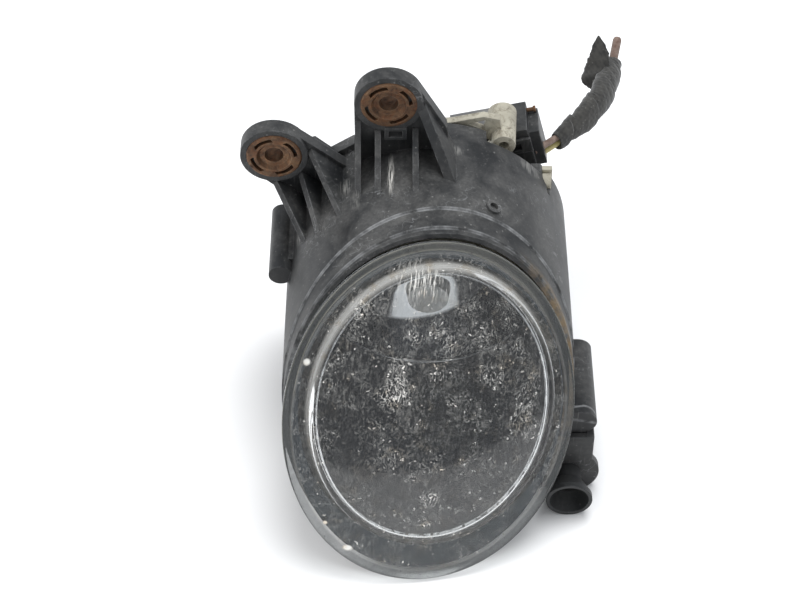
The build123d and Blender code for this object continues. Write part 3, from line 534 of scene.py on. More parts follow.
metal = {
    "bronze": (0.20, 0.125, 0.075),
    "rustDark": (0.045, 0.022, 0.013),
    "rustBright": (0.24, 0.10, 0.042),
    "cast": (0.36, 0.335, 0.27),
    "castLight": (0.56, 0.53, 0.43),
    "castDirt": (0.10, 0.082, 0.060),
    "bronzeRubbed": (0.42, 0.30, 0.19),
    "castRubbed": (0.60, 0.58, 0.52),
    "zinc": (0.52, 0.51, 0.48),
    "zincDull": (0.36, 0.345, 0.31),
    "brass": (0.62, 0.44, 0.20),
    "brassDull": (0.26, 0.16, 0.075),
    "silver": (0.96, 0.96, 0.95),
    "silverHazy": (0.88, 0.87, 0.84),
    "silverSpots": (0.36, 0.34, 0.32),
    "cap": (0.80, 0.80, 0.79),
    "capHazy": (0.66, 0.65, 0.62),
    "tungsten": (0.36, 0.35, 0.34),
    "tungstenDull": (0.20, 0.19, 0.18),
}


def rustySteelLook():
    material, tree, shader = newMaterial("rustySteel")
    where = objectSpace(tree)
    patch = patches(tree, where, 240, 6, 0.66, 0.36, 0.62, 0.5)
    deep = patches(tree, where, 520, 5, 0.7, 0.42, 0.66, 0.2)
    colour = tint(tree, patch, metal["bronze"], metal["rustDark"])
    colour = laid(tree, colour, metal["rustBright"], deep, 0.55)
    worn = useGroup(tree, "edgeWear", Width=0.0005, Breakup=0.35)
    colour = laid(tree, colour, metal["bronzeRubbed"], worn, 0.75)
    shine = calc(tree, "SUBTRACT", 0.85, times(tree, patch, 0.62), clamp=True)
    rough = remap(tree, patch, 0, 1, 0.34, 0.80)
    height = calc(tree, "ADD", patch, times(tree, deep, 0.6))
    feed(tree, shader, colour=colour, metal=shine, rough=rough, normal=bumped(tree, height, 0.5, 0.00010, 0.0004))
    return material


barrelBlack = {"reach": 0.0428, "behind": -0.0310, "front": (-0.0046, -0.0042), "black": (0.006, 0.007, 0.009)}


def dieCastLook():
    material, tree, shader = newMaterial("dieCast")
    where = objectSpace(tree)
    tone = patches(tree, where, 90, 6, 0.62, 0.34, 0.66, 0.4)
    colour = tint(tree, tone, metal["cast"], metal["castLight"])
    dirty = patches(tree, where, 180, 5, 0.7, 0.50, 0.66, 0.7)
    colour = laid(tree, colour, metal["castDirt"], dirty, 0.8)
    worn = useGroup(tree, "edgeWear", Width=0.0006, Breakup=0.3)
    colour = laid(tree, colour, metal["castRubbed"], worn, 0.7)
    # inside of the barrel and the flange face just behind the lens are coloured near black
    away = vec(tree, "SUBTRACT", where, tuple(place(0, 0, 0)))
    flat = vec(tree, "MULTIPLY", away, (1, 0, 1))
    reach = vec(tree, "LENGTH", flat)
    ahead = axis(tree, away, "Y")
    narrow = calc(tree, "LESS_THAN", reach, barrelBlack["reach"])
    inside = times(tree, narrow, calc(tree, "LESS_THAN", ahead, barrelBlack["behind"]))
    inner = calc(tree, "MAXIMUM", inside, remap(tree, lensHeight(tree), *barrelBlack["front"]))
    colour = tint(tree, inner, colour, barrelBlack["black"])
    shine = times(tree, calc(tree, "SUBTRACT", 1.0, inner), remap(tree, dirty, 0, 1, 0.40, 0.12))
    rough = remap(tree, dirty, 0, 1, 0.52, 0.80)
    height = useGroup(tree, "mouldGrain", Scale=700, Pits=0.6)
    feed(tree, shader, colour=colour, metal=shine, rough=rough, normal=bumped(tree, height, 0.30, 0.00018, 0.0006))
    return material


def zincSteelLook():
    material, tree, shader = newMaterial("zincSteel")
    where = objectSpace(tree)
    cloud = patches(tree, where, 420, 5, 0.6, 0.35, 0.65, 0.3)
    colour = tint(tree, cloud, metal["zinc"], metal["zincDull"])
    spots = useGroup(tree, "specks", Scale=900, Density=0.22, Size=0.30, Ragged=0.8)
    colour = laid(tree, colour, metal["rustBright"], spots, 0.6)
    rough = remap(tree, cloud, 0, 1, 0.30, 0.48)
    feed(tree, shader, colour=colour, metal=0.9, rough=rough, normal=bumped(tree, cloud, 0.15, 0.00005, 0.0002))
    return material


def brassLook():
    material, tree, shader = newMaterial("brass")
    where = objectSpace(tree)
    dull = patches(tree, where, 600, 5, 0.6, 0.38, 0.64, 0.4)
    colour = tint(tree, dull, metal["brass"], metal["brassDull"])
    rough = remap(tree, dull, 0, 1, 0.28, 0.55)
    feed(tree, shader, colour=colour, metal=0.95, rough=rough, normal=bumped(tree, dull, 0.15, 0.00005, 0.0002))
    return material


# near-black band on the reflector bowl: a painted dark reflection
darkReflectionBand = {"middle": (-4.0, 0, 0), "from": (0.0298, 0.0307), "lip": -0.0343, "tone": (0.006, 0.008, 0.012)}


def brightReflectorLook():
    material, tree, shader = newMaterial("brightReflector")
    where = objectSpace(tree)
    haze = patches(tree, where, 70, 5, 0.6, 0.38, 0.66, 0.5)
    colour = tint(tree, haze, metal["silver"], metal["silverHazy"])
    spots = useGroup(tree, "specks", Scale=420, Density=0.16, Size=0.2, Ragged=0.9)
    colour = laid(tree, colour, metal["silverSpots"], spots, 0.5)
    # bright in the middle of the bowl and at its lip; the band between is coloured near black, a painted dark
    # reflection
    away = vec(tree, "SUBTRACT", where, tuple(place(*darkReflectionBand["middle"])))
    part = put(tree, "ShaderNodeSeparateXYZ", {0: away})
    flat = put(tree, "ShaderNodeCombineXYZ", {0: part.outputs["X"], 1: part.outputs["Z"]}).outputs[0]
    reach = vec(tree, "LENGTH", flat)
    paintedDarkBand = remap(tree, reach, *darkReflectionBand["from"])
    lip = calc(tree, "LESS_THAN", part.outputs["Y"], darkReflectionBand["lip"])
    paintedDarkBand = times(tree, paintedDarkBand, calc(tree, "SUBTRACT", 1.0, lip))
    colour = laid(tree, colour, darkReflectionBand["tone"], paintedDarkBand, 0.97)
    rough = calc(tree, "ADD", remap(tree, haze, 0, 1, 0.07, 0.16), times(tree, paintedDarkBand, 0.15))
    feed(tree, shader, colour=colour, metal=1.0, rough=rough)
    return material


rubber = {
    "seal": (0.014, 0.014, 0.015),
    "sealDusty": (0.045, 0.044, 0.042),
    "bond": (0.020, 0.026, 0.032),
    "bondPale": (0.040, 0.048, 0.055),
}


def darkSealLook():
    material, tree, shader = newMaterial("darkSeal")
    where = objectSpace(tree)
    tone = patches(tree, where, 300, 4, 0.6, 0.36, 0.66)
    colour = tint(tree, tone, rubber["seal"], rubber["sealDusty"])
    film = useGroup(tree, "dustFilm", Scale=120, Amount=0.35, Upward=0.4)
    colour = tint(tree, film, colour, plastic["dust"])
    height = useGroup(tree, "mouldGrain", Scale=2200, Pits=0.3)
    feed(tree, shader, colour=colour, rough=remap(tree, tone, 0, 1, 0.62, 0.82))
    feed(tree, shader, normal=bumped(tree, height, 0.2, 0.0001, 0.0003), specular=0.35)
    return material


def bondBlackLook():
    material, tree, shader = newMaterial("bondBlack")
    tone = patches(tree, objectSpace(tree), 160, 4, 0.6, 0.36, 0.66)
    colour = tint(tree, tone, rubber["bond"], rubber["bondPale"])
    feed(tree, shader, colour=colour, rough=remap(tree, tone, 0, 1, 0.45, 0.6), specular=0.4)
    return material


greyBody = {"dark": (0.055, 0.056, 0.058), "pale": (0.13, 0.13, 0.128), "rubbed": (0.34, 0.34, 0.33)}


def greyPlasticLook():
    material, tree, shader = newMaterial("greyPlastic")
    where = objectSpace(tree)
    tone = patches(tree, where, 110, 4, 0.6, 0.35, 0.66, 0.3)
    colour = tint(tree, tone, greyBody["dark"], greyBody["pale"])
    film = useGroup(tree, "dustFilm", Scale=80, Amount=0.5, Upward=0.5)
    colour = tint(tree, film, colour, plastic["dust"])
    worn = useGroup(tree, "edgeWear", Width=0.0005, Breakup=0.45)
    colour = laid(tree, colour, greyBody["rubbed"], worn, 0.5)
    height = useGroup(tree, "mouldGrain", Scale=1300, Pits=0.2)
    feed(tree, shader, colour=colour, rough=remap(tree, tone, 0, 1, 0.46, 0.66))
    feed(tree, shader, normal=bumped(tree, height, 0.2, 0.00012, 0.0004), specular=0.4)
    return material


def shieldSteelLook():
    # the bulb's cap is duller than the bowl, so it takes light from all round
    material, tree, shader = newMaterial("shieldSteel")
    haze = patches(tree, objectSpace(tree), 260, 4, 0.6, 0.36, 0.66, 0.3)
    colour = tint(tree, haze, metal["cap"], metal["capHazy"])
    feed(tree, shader, colour=colour, metal=0.25, rough=remap(tree, haze, 0, 1, 0.35, 0.55))
    return material


def tungstenLook():
    material, tree, shader = newMaterial("tungsten")
    dull = patches(tree, objectSpace(tree), 1500, 3, 0.6, 0.35, 0.65)
    feed(tree, shader, colour=tint(tree, dull, metal["tungsten"], metal["tungstenDull"]), metal=1.0)
    feed(tree, shader, rough=remap(tree, dull, 0, 1, 0.3, 0.5))
    return material


glass = {
    "clear": (0.97, 0.985, 0.99),
    "cloudy": (0.93, 0.95, 0.95),
    "shadow": (0.93, 0.94, 0.94),
    "index": 1.49,
}


def glassLook(name, rough, smear):
    # clear for the eye, and lets light through to what is behind it
    material, tree, shader = newMaterial(name)
    where = objectSpace(tree)
    cloud = patches(tree, where, 55, 4, 0.6, 0.40, 0.70, 0.6)
    colour = tint(tree, cloud, glass["clear"], glass["cloudy"])
    feed(tree, shader, colour=colour, rough=remap(tree, cloud, 0, 1, rough, rough + smear))
    feed(tree, shader, clear=1.0, index=glass["index"], specular=0.5)
    path = put(tree, "ShaderNodeLightPath")
    through = put(tree, "ShaderNodeBsdfTransparent", {"Color": (*glass["shadow"], 1)})
    inputs = {0: path.outputs["Is Shadow Ray"], 1: shader.outputs[0], 2: through.outputs[0]}
    mixed = put(tree, "ShaderNodeMixShader", inputs)
    tree.links.new(mixed.outputs[0], tree.nodes["Material Output"].inputs[0])
    return material


grimeAndPaintedLight = {
    "pale": (0.80, 0.79, 0.75),
    "tan": (0.62, 0.52, 0.38),
    # grey film on the lens's lip: painted shade
    "lip": (0.11, 0.115, 0.115),
    "spots": [  # across, along, half sizes, strength; on the lens, in millimetres
        (-15.4, 9.6, 8.0, 9.0, 1.0),
        (-31.5, 37.5, 5.0, 5.5, 1.0),
        (-12.6, 29.0, 5.0, 6.0, 0.7),
        (-15.0, 19.0, 5.5, 6.0, 0.7),
        (-3.8, 33.0, 4.5, 4.5, 0.6),
        (33.0, 7.7, 6.0, 15.0, 0.8),
        (3.4, -27.5, 5.5, 4.5, 0.8),
        (-3.5, -21.0, 3.0, 4.5, 0.7),
        (4.0, -37.0, 6.0, 4.0, 0.6),
        (18.0, 20.0, 9.0, 6.0, 0.5),
        (12.0, 3.0, 8.0, 5.0, 0.5),
    ],
    "lipSpots": [(-46.5, 13.0, 1.6, 1.6), (-21.0, -53.5, 2.4, 1.4), (-30.5, -45.0, 1.0, 0.9)],
    "streaks": (-12.0, 49.0, 15.0, 8.0),
    "grains": [  # scale, density, size, ragged edge, dirt for full strength, least and full strength
        (1000, 0.42, 0.34, 0.9, 1.0, 0.05, 0.50),
        (560, 0.26, 0.26, 1.5, 0.8, 0.12, 0.95),
        (430, 0.09, 0.23, 1.8, 0.6, 0.50, 0.95),
    ],
}


def lensSpace(tree):
    # across, along and in front of the lens's rim plane
    frameNow = lensFrame()
    inputs = {"Vector": objectSpace(tree), "Location": frameNow.to_translation()}
    inputs["Rotation"] = frameNow.to_euler()
    return put(tree, "ShaderNodeMapping", inputs, vector_type="TEXTURE").outputs["Vector"]


def ovalReach(tree, where, half):
    # 1 on an ellipse about the middle of the rim plane
    scale = (1 / half[0] / mm, 1 / half[1] / mm, 0)
    return vec(tree, "LENGTH", vec(tree, "MULTIPLY", where, scale))


def lensGrimeAndPaintedLightLook():
    # dust, dried drops and scratches, pale where the mask shows and clear elsewhere; with painted shade as a grey
    # film on the lip and a pale film on the dome's wall, and a painted reflection of the floor low on the lens
    material, tree, shader = newMaterial("lensGrimeAndPaintedLight")
    where = lensSpace(tree)
    thick = None
    for across, along, wide, high, strength in grimeAndPaintedLight["spots"]:
        size = (wide * mm, high * mm, 0.03)
        near = spotMask(tree, (across * mm, along * mm, 0.009), size, soft=0.95, where=where)
        near = times(tree, near, strength)
        thick = near if thick is None else calc(tree, "MAXIMUM", thick, near)
    clouds = patches(tree, where, 120, 5, 0.68, 0.39, 0.66, 0.4)
    thick = calc(tree, "ADD", thick, times(tree, clouds, 0.62), clamp=True)
    longMarks = stretched(tree, where, (1.0, 0.42, 1.0))
    level = noise(tree, longMarks, 820, 3, 0.6, 0.8)
    fine = remap(tree, calc(tree, "ABSOLUTE", calc(tree, "SUBTRACT", level, 0.5)), 0.030, 0.004)
    fine = times(tree, fine, remap(tree, thick, 0.0, 1.0, 0.04, 0.62))
    grains = []
    for scale, density, size, ragged, full, least, most in grimeAndPaintedLight["grains"]:
        grain = useGroup(tree, "specks", Scale=scale, Density=density, Size=size, Ragged=ragged)
        grains.append(times(tree, grain, remap(tree, thick, 0.0, full, least, most)))
    stipple, middle, bold = grains
    blobs = useGroup(tree, "specks", Scale=150, Density=0.20, Size=0.27, Ragged=0.6)
    blobs = times(tree, blobs, remap(tree, noise(tree, where, 700, 2, 0.5), 0.35, 0.65, 0.02, 0.14))
    across, along, wide, high = grimeAndPaintedLight["streaks"]
    near = spotMask(tree, (across * mm, along * mm, 0.006), (wide * mm, high * mm, 0.03), soft=0.8, where=where)
    strokes = noise(tree, stretched(tree, where, (1500, 150, 300), (0, 0, 0.25)), 1.0, 3, 0.6)
    strokes = times(tree, remap(tree, strokes, 0.50, 0.62), near)
    # a thin film of dust all over, and more film towards the bottom of the lens: dust, and a painted reflection of
    # the floor
    low = axis(tree, where, "Y")
    film = times(tree, patches(tree, where, 60, 5, 0.65, 0.35, 0.75), 0.012)
    film = calc(tree, "ADD", film, remap(tree, low, -0.012, -0.045, 0.0, 0.035))
    total = film
    curls = useGroup(tree, "squiggles", Scale=330, Thin=0.022, Patches=0.46)
    curls = times(tree, curls, remap(tree, thick, 0.2, 0.9, 0.0, 0.85))
    for part in (fine, stipple, middle, blobs, bold, curls, times(tree, strokes, 0.8)):
        total = calc(tree, "MAXIMUM", total, part)
    # the dome's wall is filmed over at the top and on the left, and clear at the foot: painted shade, a pale film
    # that dims the wall's bright refraction there
    dome = vec(tree, "SUBTRACT", where, (0, lensShape["rise"] * mm, 0))
    reach = ovalReach(tree, dome, lensShape["dome"])
    wall = times(tree, remap(tree, reach, 0.955, 0.99), remap(tree, reach, 1.03, 1.005))
    part = put(tree, "ShaderNodeSeparateXYZ", {0: where})
    lean = calc(tree, "SUBTRACT", part.outputs["Y"], times(tree, part.outputs["X"], 0.9))
    wall = times(tree, wall, remap(tree, lean, -0.015, 0.030))
    total = calc(tree, "MAXIMUM", total, times(tree, wall, 0.30))
    # greyed lip, outside the bonded band: painted shade, a grey film standing in for the shadow and dark
    # refraction seen through the rim
    lip = remap(tree, ovalReach(tree, where, lensShape["rim"]), 0.925, 0.95)
    total = calc(tree, "MAXIMUM", total, times(tree, lip, remap(tree, clouds, 0, 1, 0.34, 0.5)))
    for across, along, wide, high in grimeAndPaintedLight["lipSpots"]:
        near = spotMask(tree, (across * mm, along * mm, 0), (wide * mm, high * mm, 0.01), soft=0.5, where=where)
        total = calc(tree, "MAXIMUM", total, times(tree, near, 0.95))
        lip = times(tree, lip, calc(tree, "SUBTRACT", 1.0, near))
    warm = patches(tree, where, 150, 3, 0.6, 0.52, 0.66)
    colour = tint(tree, times(tree, warm, 0.6), grimeAndPaintedLight["pale"], grimeAndPaintedLight["tan"])
    colour = tint(tree, lip, colour, grimeAndPaintedLight["lip"])
    feed(tree, shader, colour=colour, rough=remap(tree, warm, 0, 1, 0.65, 0.9), alpha=total, specular=0.2)
    return material


wires = {
    "brown": (0.105, 0.060, 0.045),
    "brownPale": (0.20, 0.140, 0.115),
    "brownDust": (0.30, 0.26, 0.225),
    "yellow": (0.46, 0.40, 0.15),
    "green": (0.06, 0.13, 0.05),
    "yellowDust": (0.38, 0.33, 0.22),
}


def brownWireLook():
    material, tree, shader = newMaterial("brownWire")
    where = objectSpace(tree)
    tone = patches(tree, where, 500, 4, 0.6, 0.36, 0.66, 0.3)
    colour = tint(tree, tone, wires["brown"], wires["brownPale"])
    film = useGroup(tree, "dustFilm", Scale=180, Amount=0.55, Upward=0.3)
    colour = tint(tree, film, colour, wires["brownDust"])
    feed(tree, shader, colour=colour, rough=remap(tree, tone, 0, 1, 0.48, 0.64))
    feed(tree, shader, normal=bumped(tree, tone, 0.12, 0.00008, 0.0001))
    return material


def yellowGreenWireLook():
    # yellow with a green stripe, dulled by dust
    material, tree, shader = newMaterial("yellowGreenWire")
    where = objectSpace(tree)
    normal = put(tree, "ShaderNodeTexCoord").outputs["Normal"]
    side = put(tree, "ShaderNodeSeparateXYZ", {0: normal})
    stripe = remap(tree, side.outputs["X"], -0.25, -0.45)
    colour = tint(tree, stripe, wires["yellow"], wires["green"])
    tone = patches(tree, where, 700, 4, 0.6, 0.36, 0.66, 0.3)
    colour = laid(tree, colour, wires["yellowDust"], tone, 0.5)
    feed(tree, shader, colour=colour, rough=remap(tree, tone, 0, 1, 0.48, 0.64))
    feed(tree, shader, normal=bumped(tree, tone, 0.12, 0.00008, 0.0001))
    return material


cloth = {
    "dark": (0.014, 0.014, 0.0135),
    "pale": (0.046, 0.045, 0.041),
    "thread": (0.060, 0.057, 0.052),
    "lint": (0.20, 0.195, 0.18),
    "rubbed": (0.15, 0.145, 0.13),
    "weave": 2600.0,
    "slant": 0.5,
}


def clothTapeLook():
    # dense plain weave along and around, with dust in it; the mesh's UV map follows the tape
    material, tree, shader = newMaterial("clothTape")
    where = objectSpace(tree)
    follow = put(tree, "ShaderNodeUVMap", uv_map="tapeWeave").outputs[0]
    turned = stretched(tree, follow, (1, 1, 1), (0, 0, cloth["slant"]))
    part = put(tree, "ShaderNodeSeparateXYZ", {0: turned})
    warp = calc(tree, "SINE", times(tree, part.outputs["X"], cloth["weave"]))
    weft = calc(tree, "SINE", times(tree, part.outputs["Y"], cloth["weave"]))
    weave = times(tree, warp, weft)
    weave = remap(tree, weave, -1.0, 1.0)
    tone = patches(tree, where, 260, 5, 0.65, 0.36, 0.68, 0.3)
    colour = tint(tree, tone, cloth["dark"], cloth["pale"])
    colour = laid(tree, colour, cloth["thread"], weave, 0.35)
    lint = useGroup(tree, "specks", Scale=900, Density=0.18, Size=0.25, Ragged=1.2)
    colour = laid(tree, colour, cloth["lint"], lint, 0.5)
    worn = useGroup(tree, "edgeWear", Width=0.0004, Breakup=0.45)
    colour = laid(tree, colour, cloth["rubbed"], worn, 0.45)
    height = calc(tree, "ADD", weave, times(tree, tone, 0.8))
    normal = put(tree, "ShaderNodeBump", {"Height": height, "Strength": 0.45, "Distance": 0.00012}).outputs[0]
    feed(tree, shader, colour=colour, rough=remap(tree, tone, 0, 1, 0.82, 0.95), normal=normal, sheen=0.25)
    return material


def floorLook():
    material, tree, shader = newMaterial("floorBoard")
    tone = noise(tree, objectSpace(tree), 3.0, 3, 0.5)
    low = tuple(value * 0.985 for value in studio["floorTint"])
    colour = tint(tree, tone, low, studio["floorTint"])
    feed(tree, shader, colour=colour, rough=remap(tree, tone, 0, 1, 0.75, 0.85), specular=0.1)
    return material


looks = {
    "carrierPlastic": blackPlasticLook("carrierPlastic", 0.36, 0.75, gapDirt=True),
    "plugPlastic": blackPlasticLook("plugPlastic", 0.30, 0.6, fade=0.5),
    "guidePlastic": blackPlasticLook("guidePlastic", 0.14, 0.4, fade=0.3),
    "rustySteel": rustySteelLook(),
    "dieCast": dieCastLook(),
    "zincSteel": zincSteelLook(),
    "brass": brassLook(),
    "brightReflector": brightReflectorLook(),
    "darkSeal": darkSealLook(),
    "bondBlack": bondBlackLook(),
    "greyPlastic": greyPlasticLook(),
    "shieldSteel": shieldSteelLook(),
    "tungsten": tungstenLook(),
    "clearLens": glassLook("clearLens", 0.015, 0.05),
    "bulbGlass": glassLook("bulbGlassClear", 0.01, 0.02),
    "lensGrimeAndPaintedLight": lensGrimeAndPaintedLightLook(),
    "brownWire": brownWireLook(),
    "yellowGreenWire": yellowGreenWireLook(),
    "clothTape": clothTapeLook(),
}

cadLooks = {
    "carrierPlastic": ["carrier", "aim_bracket"],
    "guidePlastic": ["adjuster_guide"],
    "plugPlastic": ["harness_plug", "plug_latch", "rear_cover"],
    "rustySteel": ["upper_bush", "left_bush", "keeper_pin"],
    "dieCast": ["lamp_housing", "pivot_clips"],
    "zincSteel": ["reflector_screws", "bulb_base", "bulb_clip", "adjuster_screw", "screw_retainer"],
    "brass": ["bulb_terminal", "cover_contacts", "socket_pins"],
    "darkSeal": ["lens_seal", "cover_seal", "vent_cap"],
    "greyPlastic": ["adjuster_nut", "socket_block"],
    "shieldSteel": ["bulb_shield"],
    "bulbGlass": ["bulb_glass"],
    "tungsten": ["bulb_filament"],
}


def dress(piece, look):
    piece.data.materials.clear()
    piece.data.materials.append(looks[look])


for look, names in cadLooks.items():
    for name in names:
        dress(nodes[name], look)
print("materials are made")


harness = {
    "tapeRoute": [(49.5, -18.5, 26.4), (62.2, -30.4, 28.0), (70.8, -48.5, 27.2), (74.8, -68.0, 23.2)],
    "brownRoute": [(40.8, -12.3, 26.8), (46.1, -15.9, 28.0), (50.85, -19.77, 28.07)],
    "yellowRoute": [(40.8, -12.9, 22.6), (46.1, -16.2, 24.4), (51.05, -19.95, 25.09)],
    "exit": (40.8, -12.6, 24.7),
    "meshStep": 0.22,
    "tapeAround": 64,
    "wireAround": 28,
    "wireStep": 0.4,
    "tapeRadii": [(0.0, 3.0), (0.10, 3.5), (0.28, 4.3), (0.62, 4.2), (0.84, 3.6), (1.0, 2.9)],
    "tapeStep": 0.9,
    "tapePitch": 15.0,
    "tapeStart": 0.42,
    "tapeFlat": 0.10,
    "wireRadius": 1.3,
}


def between(rows, at):
    # value on a broken line given as (place, value) rows
    for (low, a), (high, b) in zip(rows, rows[1:]):
        if at <= high:
            return a + (b - a) * (at - low) / (high - low)
    return rows[-1][1]


def wrapRadius(run, turn):
    # each turn of tape starts on the one before it, so the radius rises to a lap and drops
    phase = (run / (harness["tapePitch"] * mm) + turn / (2 * math.pi) * 0.85 + harness["tapeStart"]) % 1.0
    lap = phase if phase < 0.955 else (1.0 - phase) / 0.045 * 0.955
    radius = between(harness["tapeRadii"], run / harness["tapeLength"]) + harness["tapeStep"] * lap
    radius += 0.16 * wobble(run * 420 + 2.2 * math.sin(turn), 0.7)
    radius += 0.10 * wobble(turn * 2.0 + run * 900, 2.1)
    radius *= 1 + harness["tapeFlat"] * math.cos(2 * turn + run * 45)
    return radius * mm


def makeTape():
    route = curvePoints("tapeRoute", [place(*p) for p in harness["tapeRoute"]])
    total = lengthOf(route)
    harness["tapeLength"] = total
    spots = evenly(route, harness["meshStep"] * mm)
    around = harness["tapeAround"]
    loops = tubeLoops(spots, around, wrapRadius)
    frames = framesAlong(spots)
    # rolled ends: the last loops turn in towards the wires
    for index, end in ((0, -1), (len(loops) - 1, 1)):
        middle = frames[index][0]
        rim = loops[index]
        for depth, share in ((0.10, 0.95), (0.05, 0.86), (-0.5, 0.80), (-1.2, 0.55)):
            inner = [middle + (p - middle) * share + frames[index][1] * (end * depth * mm) for p in rim]
            if end < 0:
                loops.insert(0, inner)
            else:
                loops.append(inner)
    startPole = frames[0][0] + frames[0][1] * (1.4 * mm)
    endPole = frames[-1][0] - frames[-1][1] * (1.4 * mm)
    points, faces = joinLoops(loops, startPole=startPole, endPole=endPole)
    tape = addMesh("tapeSleeve", points, [tuple(reversed(f)) for f in faces])
    layer = tape.data.uv_layers.new(name="tapeWeave")
    girth = 2 * math.pi * harness["tapeRadii"][2][1] * mm
    for face in tape.data.polygons:
        turns = [(tape.data.loops[k].vertex_index % around) / around for k in face.loop_indices]
        wraps = max(turns) - min(turns) > 0.5
        for k, turn in zip(face.loop_indices, turns):
            row = tape.data.loops[k].vertex_index // around
            turn = turn + 1 if wraps and turn < 0.5 else turn
            layer.data[k].uv = (turn * girth, row * harness["meshStep"] * mm)
    dress(tape, "clothTape")
    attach(tape, "rear_cover")
    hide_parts("tape_wrap")
    return tape, route, total, frames


def makeWire(name, key, node, look):
    route = curvePoints(name + "Route", [place(*p) for p in harness[key]])
    spots = evenly(route, harness["wireStep"] * mm)
    radius = harness["wireRadius"] * mm

    def lumpy(run, turn):
        return radius * (1 + 0.015 * wobble(run * 1500, 1.0))

    loops = tubeLoops(spots, harness["wireAround"], lumpy)
    points, faces = joinLoops(loops, startPole=spots[0], endPole=spots[-1])
    wire = addMesh(name, points, [tuple(reversed(f)) for f in faces])
    dress(wire, look)
    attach(wire, "rear_cover")
    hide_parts(node)
    return wire


cutWire = {
    "aim": (0.20, -0.75, 0.66),
    "reach": 10.8,
    "radius": 1.75,
    "flat": 0.85,
    "rounding": 2.0,
    "step": 0.35,
    "inside": 3.5,
    "bend": 2.0,
}


def makeWireEnd(frames):
    # the cut brown wire that sticks out of the tape, with a rounded end and a little flattened
    spot, ahead, side, other = frames[-1]
    start = spot - ahead * (cutWire["inside"] * mm)
    aim = Vector(cutWire["aim"])
    aim = Vector((aim.x, -aim.y, aim.z)).normalized()
    bend = cutWire["bend"] * mm
    line = [start, start + ahead * bend, spot + aim * bend, spot + aim * (cutWire["reach"] * mm)]
    line = evenly(curvePoints("cutWireRoute", line), cutWire["step"] * mm)
    radius = cutWire["radius"]
    loops = []
    for index, (middle, ahead, side, other) in enumerate(framesAlong(line)):
        left = (len(line) - 1 - index) * cutWire["step"]
        rounded = max(0.16, math.sqrt(1 - (1 - min(left / cutWire["rounding"], 1.0)) ** 2))
        loop = []
        for i in range(harness["wireAround"]):
            turn = 2 * math.pi * i / harness["wireAround"]
            across = side * (cutWire["flat"] * math.cos(turn)) + other * math.sin(turn)
            loop.append(middle + across * (radius * rounded * mm))
        loops.append(loop)
    points, faces = joinLoops(loops, startPole=start, endPole=middle + ahead * (0.08 * mm))
    stub = addMesh("cutWireEnd", points, [tuple(reversed(f)) for f in faces])
    dress(stub, "brownWire")
    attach(stub, "rear_cover")
    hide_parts("wire_stub")
    return stub


tail = {  # loose end of the tape: middle line, half width and lean of the cross line, in millimetres
    "rows": [
        ((71.8, -53.5, 23.2), 3.2),
        ((67.6, -54.5, 24.6), 3.8),
        ((64.9, -55.5, 26.6), 4.1),
        ((66.0, -58.0, 27.2), 4.3),
        ((67.6, -60.0, 28.6), 4.4),
        ((68.6, -62.0, 31.2), 3.7),
        ((68.4, -65.0, 33.8), 2.4),
        ((68.3, -69.0, 36.6), 0.14),
    ],
    "across": (0.90, -0.10, 0.35),
    "thickness": 0.42,
    "step": 0.5,
    "columns": 11,
}


def makeTail():
    # a strip with thickness, peeled off the sleeve and rising to a torn point
    line = curvePoints("tailRoute", [place(*spot) for spot, _ in tail["rows"]])
    line = evenly(line, tail["step"] * mm)
    count = tail["columns"]
    top = []
    bottom = []
    across = Vector(tail["across"])
    across = Vector((across.x, -across.y, across.z)).normalized()
    total = len(line) - 1
    for i, (spot, ahead, _, _) in enumerate(framesAlong(line)):
        at = i / total
        rowAt = at * (len(tail["rows"]) - 1)
        low = min(int(rowAt), len(tail["rows"]) - 2)
        half = tail["rows"][low][1] + (tail["rows"][low + 1][1] - tail["rows"][low][1]) * (rowAt - low)
        half *= 1 + 0.07 * wobble(i * 0.9, 0.3)
        out = (across - ahead * across.dot(ahead)).normalized()
        up = ahead.cross(out)
        upper = []
        lower = []
        for j in range(count):
            t = j / (count - 1) * 2 - 1
            cup = 0.55 * (t * t) * (1 - at) + 0.10 * wobble(i * 0.35 + j * 1.1, 1.5)
            base = spot + out * (t * half * mm) + up * (cup * mm)
            gap = tail["thickness"] * mm * (0.5 if at < 0.97 else 0.2)
            upper.append(base + up * gap)
            lower.append(base - up * gap)
        top.append(upper)
        bottom.append(lower)
    loops = [upper + list(reversed(lower)) for upper, lower in zip(top, bottom)]
    middle0 = sum(loops[0], Vector()) / len(loops[0])
    middle1 = sum(loops[-1], Vector()) / len(loops[-1])
    points, faces = joinLoops(loops, startPole=middle0, endPole=middle1)
    flap = addMesh("tapeTail", points, faces)
    layer = flap.data.uv_layers.new(name="tapeWeave")
    for face in flap.data.polygons:
        for k in face.loop_indices:
            spot = flap.data.vertices[flap.data.loops[k].vertex_index].co
            layer.data[k].uv = (spot.x + spot.y * 0.6, spot.z - spot.y * 0.5)
    dress(flap, "clothTape")
    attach(flap, "rear_cover")
    return flap


tape, tapeRoute, tapeLength, tapeFrames = makeTape()
brownWire = makeWire("brownWire", "brownRoute", "wire_brown", "brownWire")
yellowWire = makeWire("yellowGreenWire", "yellowRoute", "wire_yellow", "yellowGreenWire")
cutEnd = makeWireEnd(tapeFrames)
tailPiece = makeTail()
print("harness is made,", round(tapeLength * 1000, 1), "mm of tape")


def domeHeight(x, y, inset=0.0):
    bow = lensShape["bowAcross"] - inset
    ring = lensShape["bowAlong"] - inset
    ring -= bow - math.sqrt(bow**2 - x**2)
    y -= lensShape["rise"]
    return lensShape["top"] - lensShape["bowAlong"] + math.sqrt(ring**2 - y**2)


def oval(half, middle, height):
    # one loop of the lens, at one height or with a height for each point
    count = lensShape["around"]
    loop = []
    for i in range(count):
        turn = 2 * math.pi * i / count
        x = half[0] * math.cos(turn)
        y = half[1] * math.sin(turn) + middle
        z = height(x, y) if callable(height) else height
        loop.append(Vector((x, y, z)) * mm)
    return loop


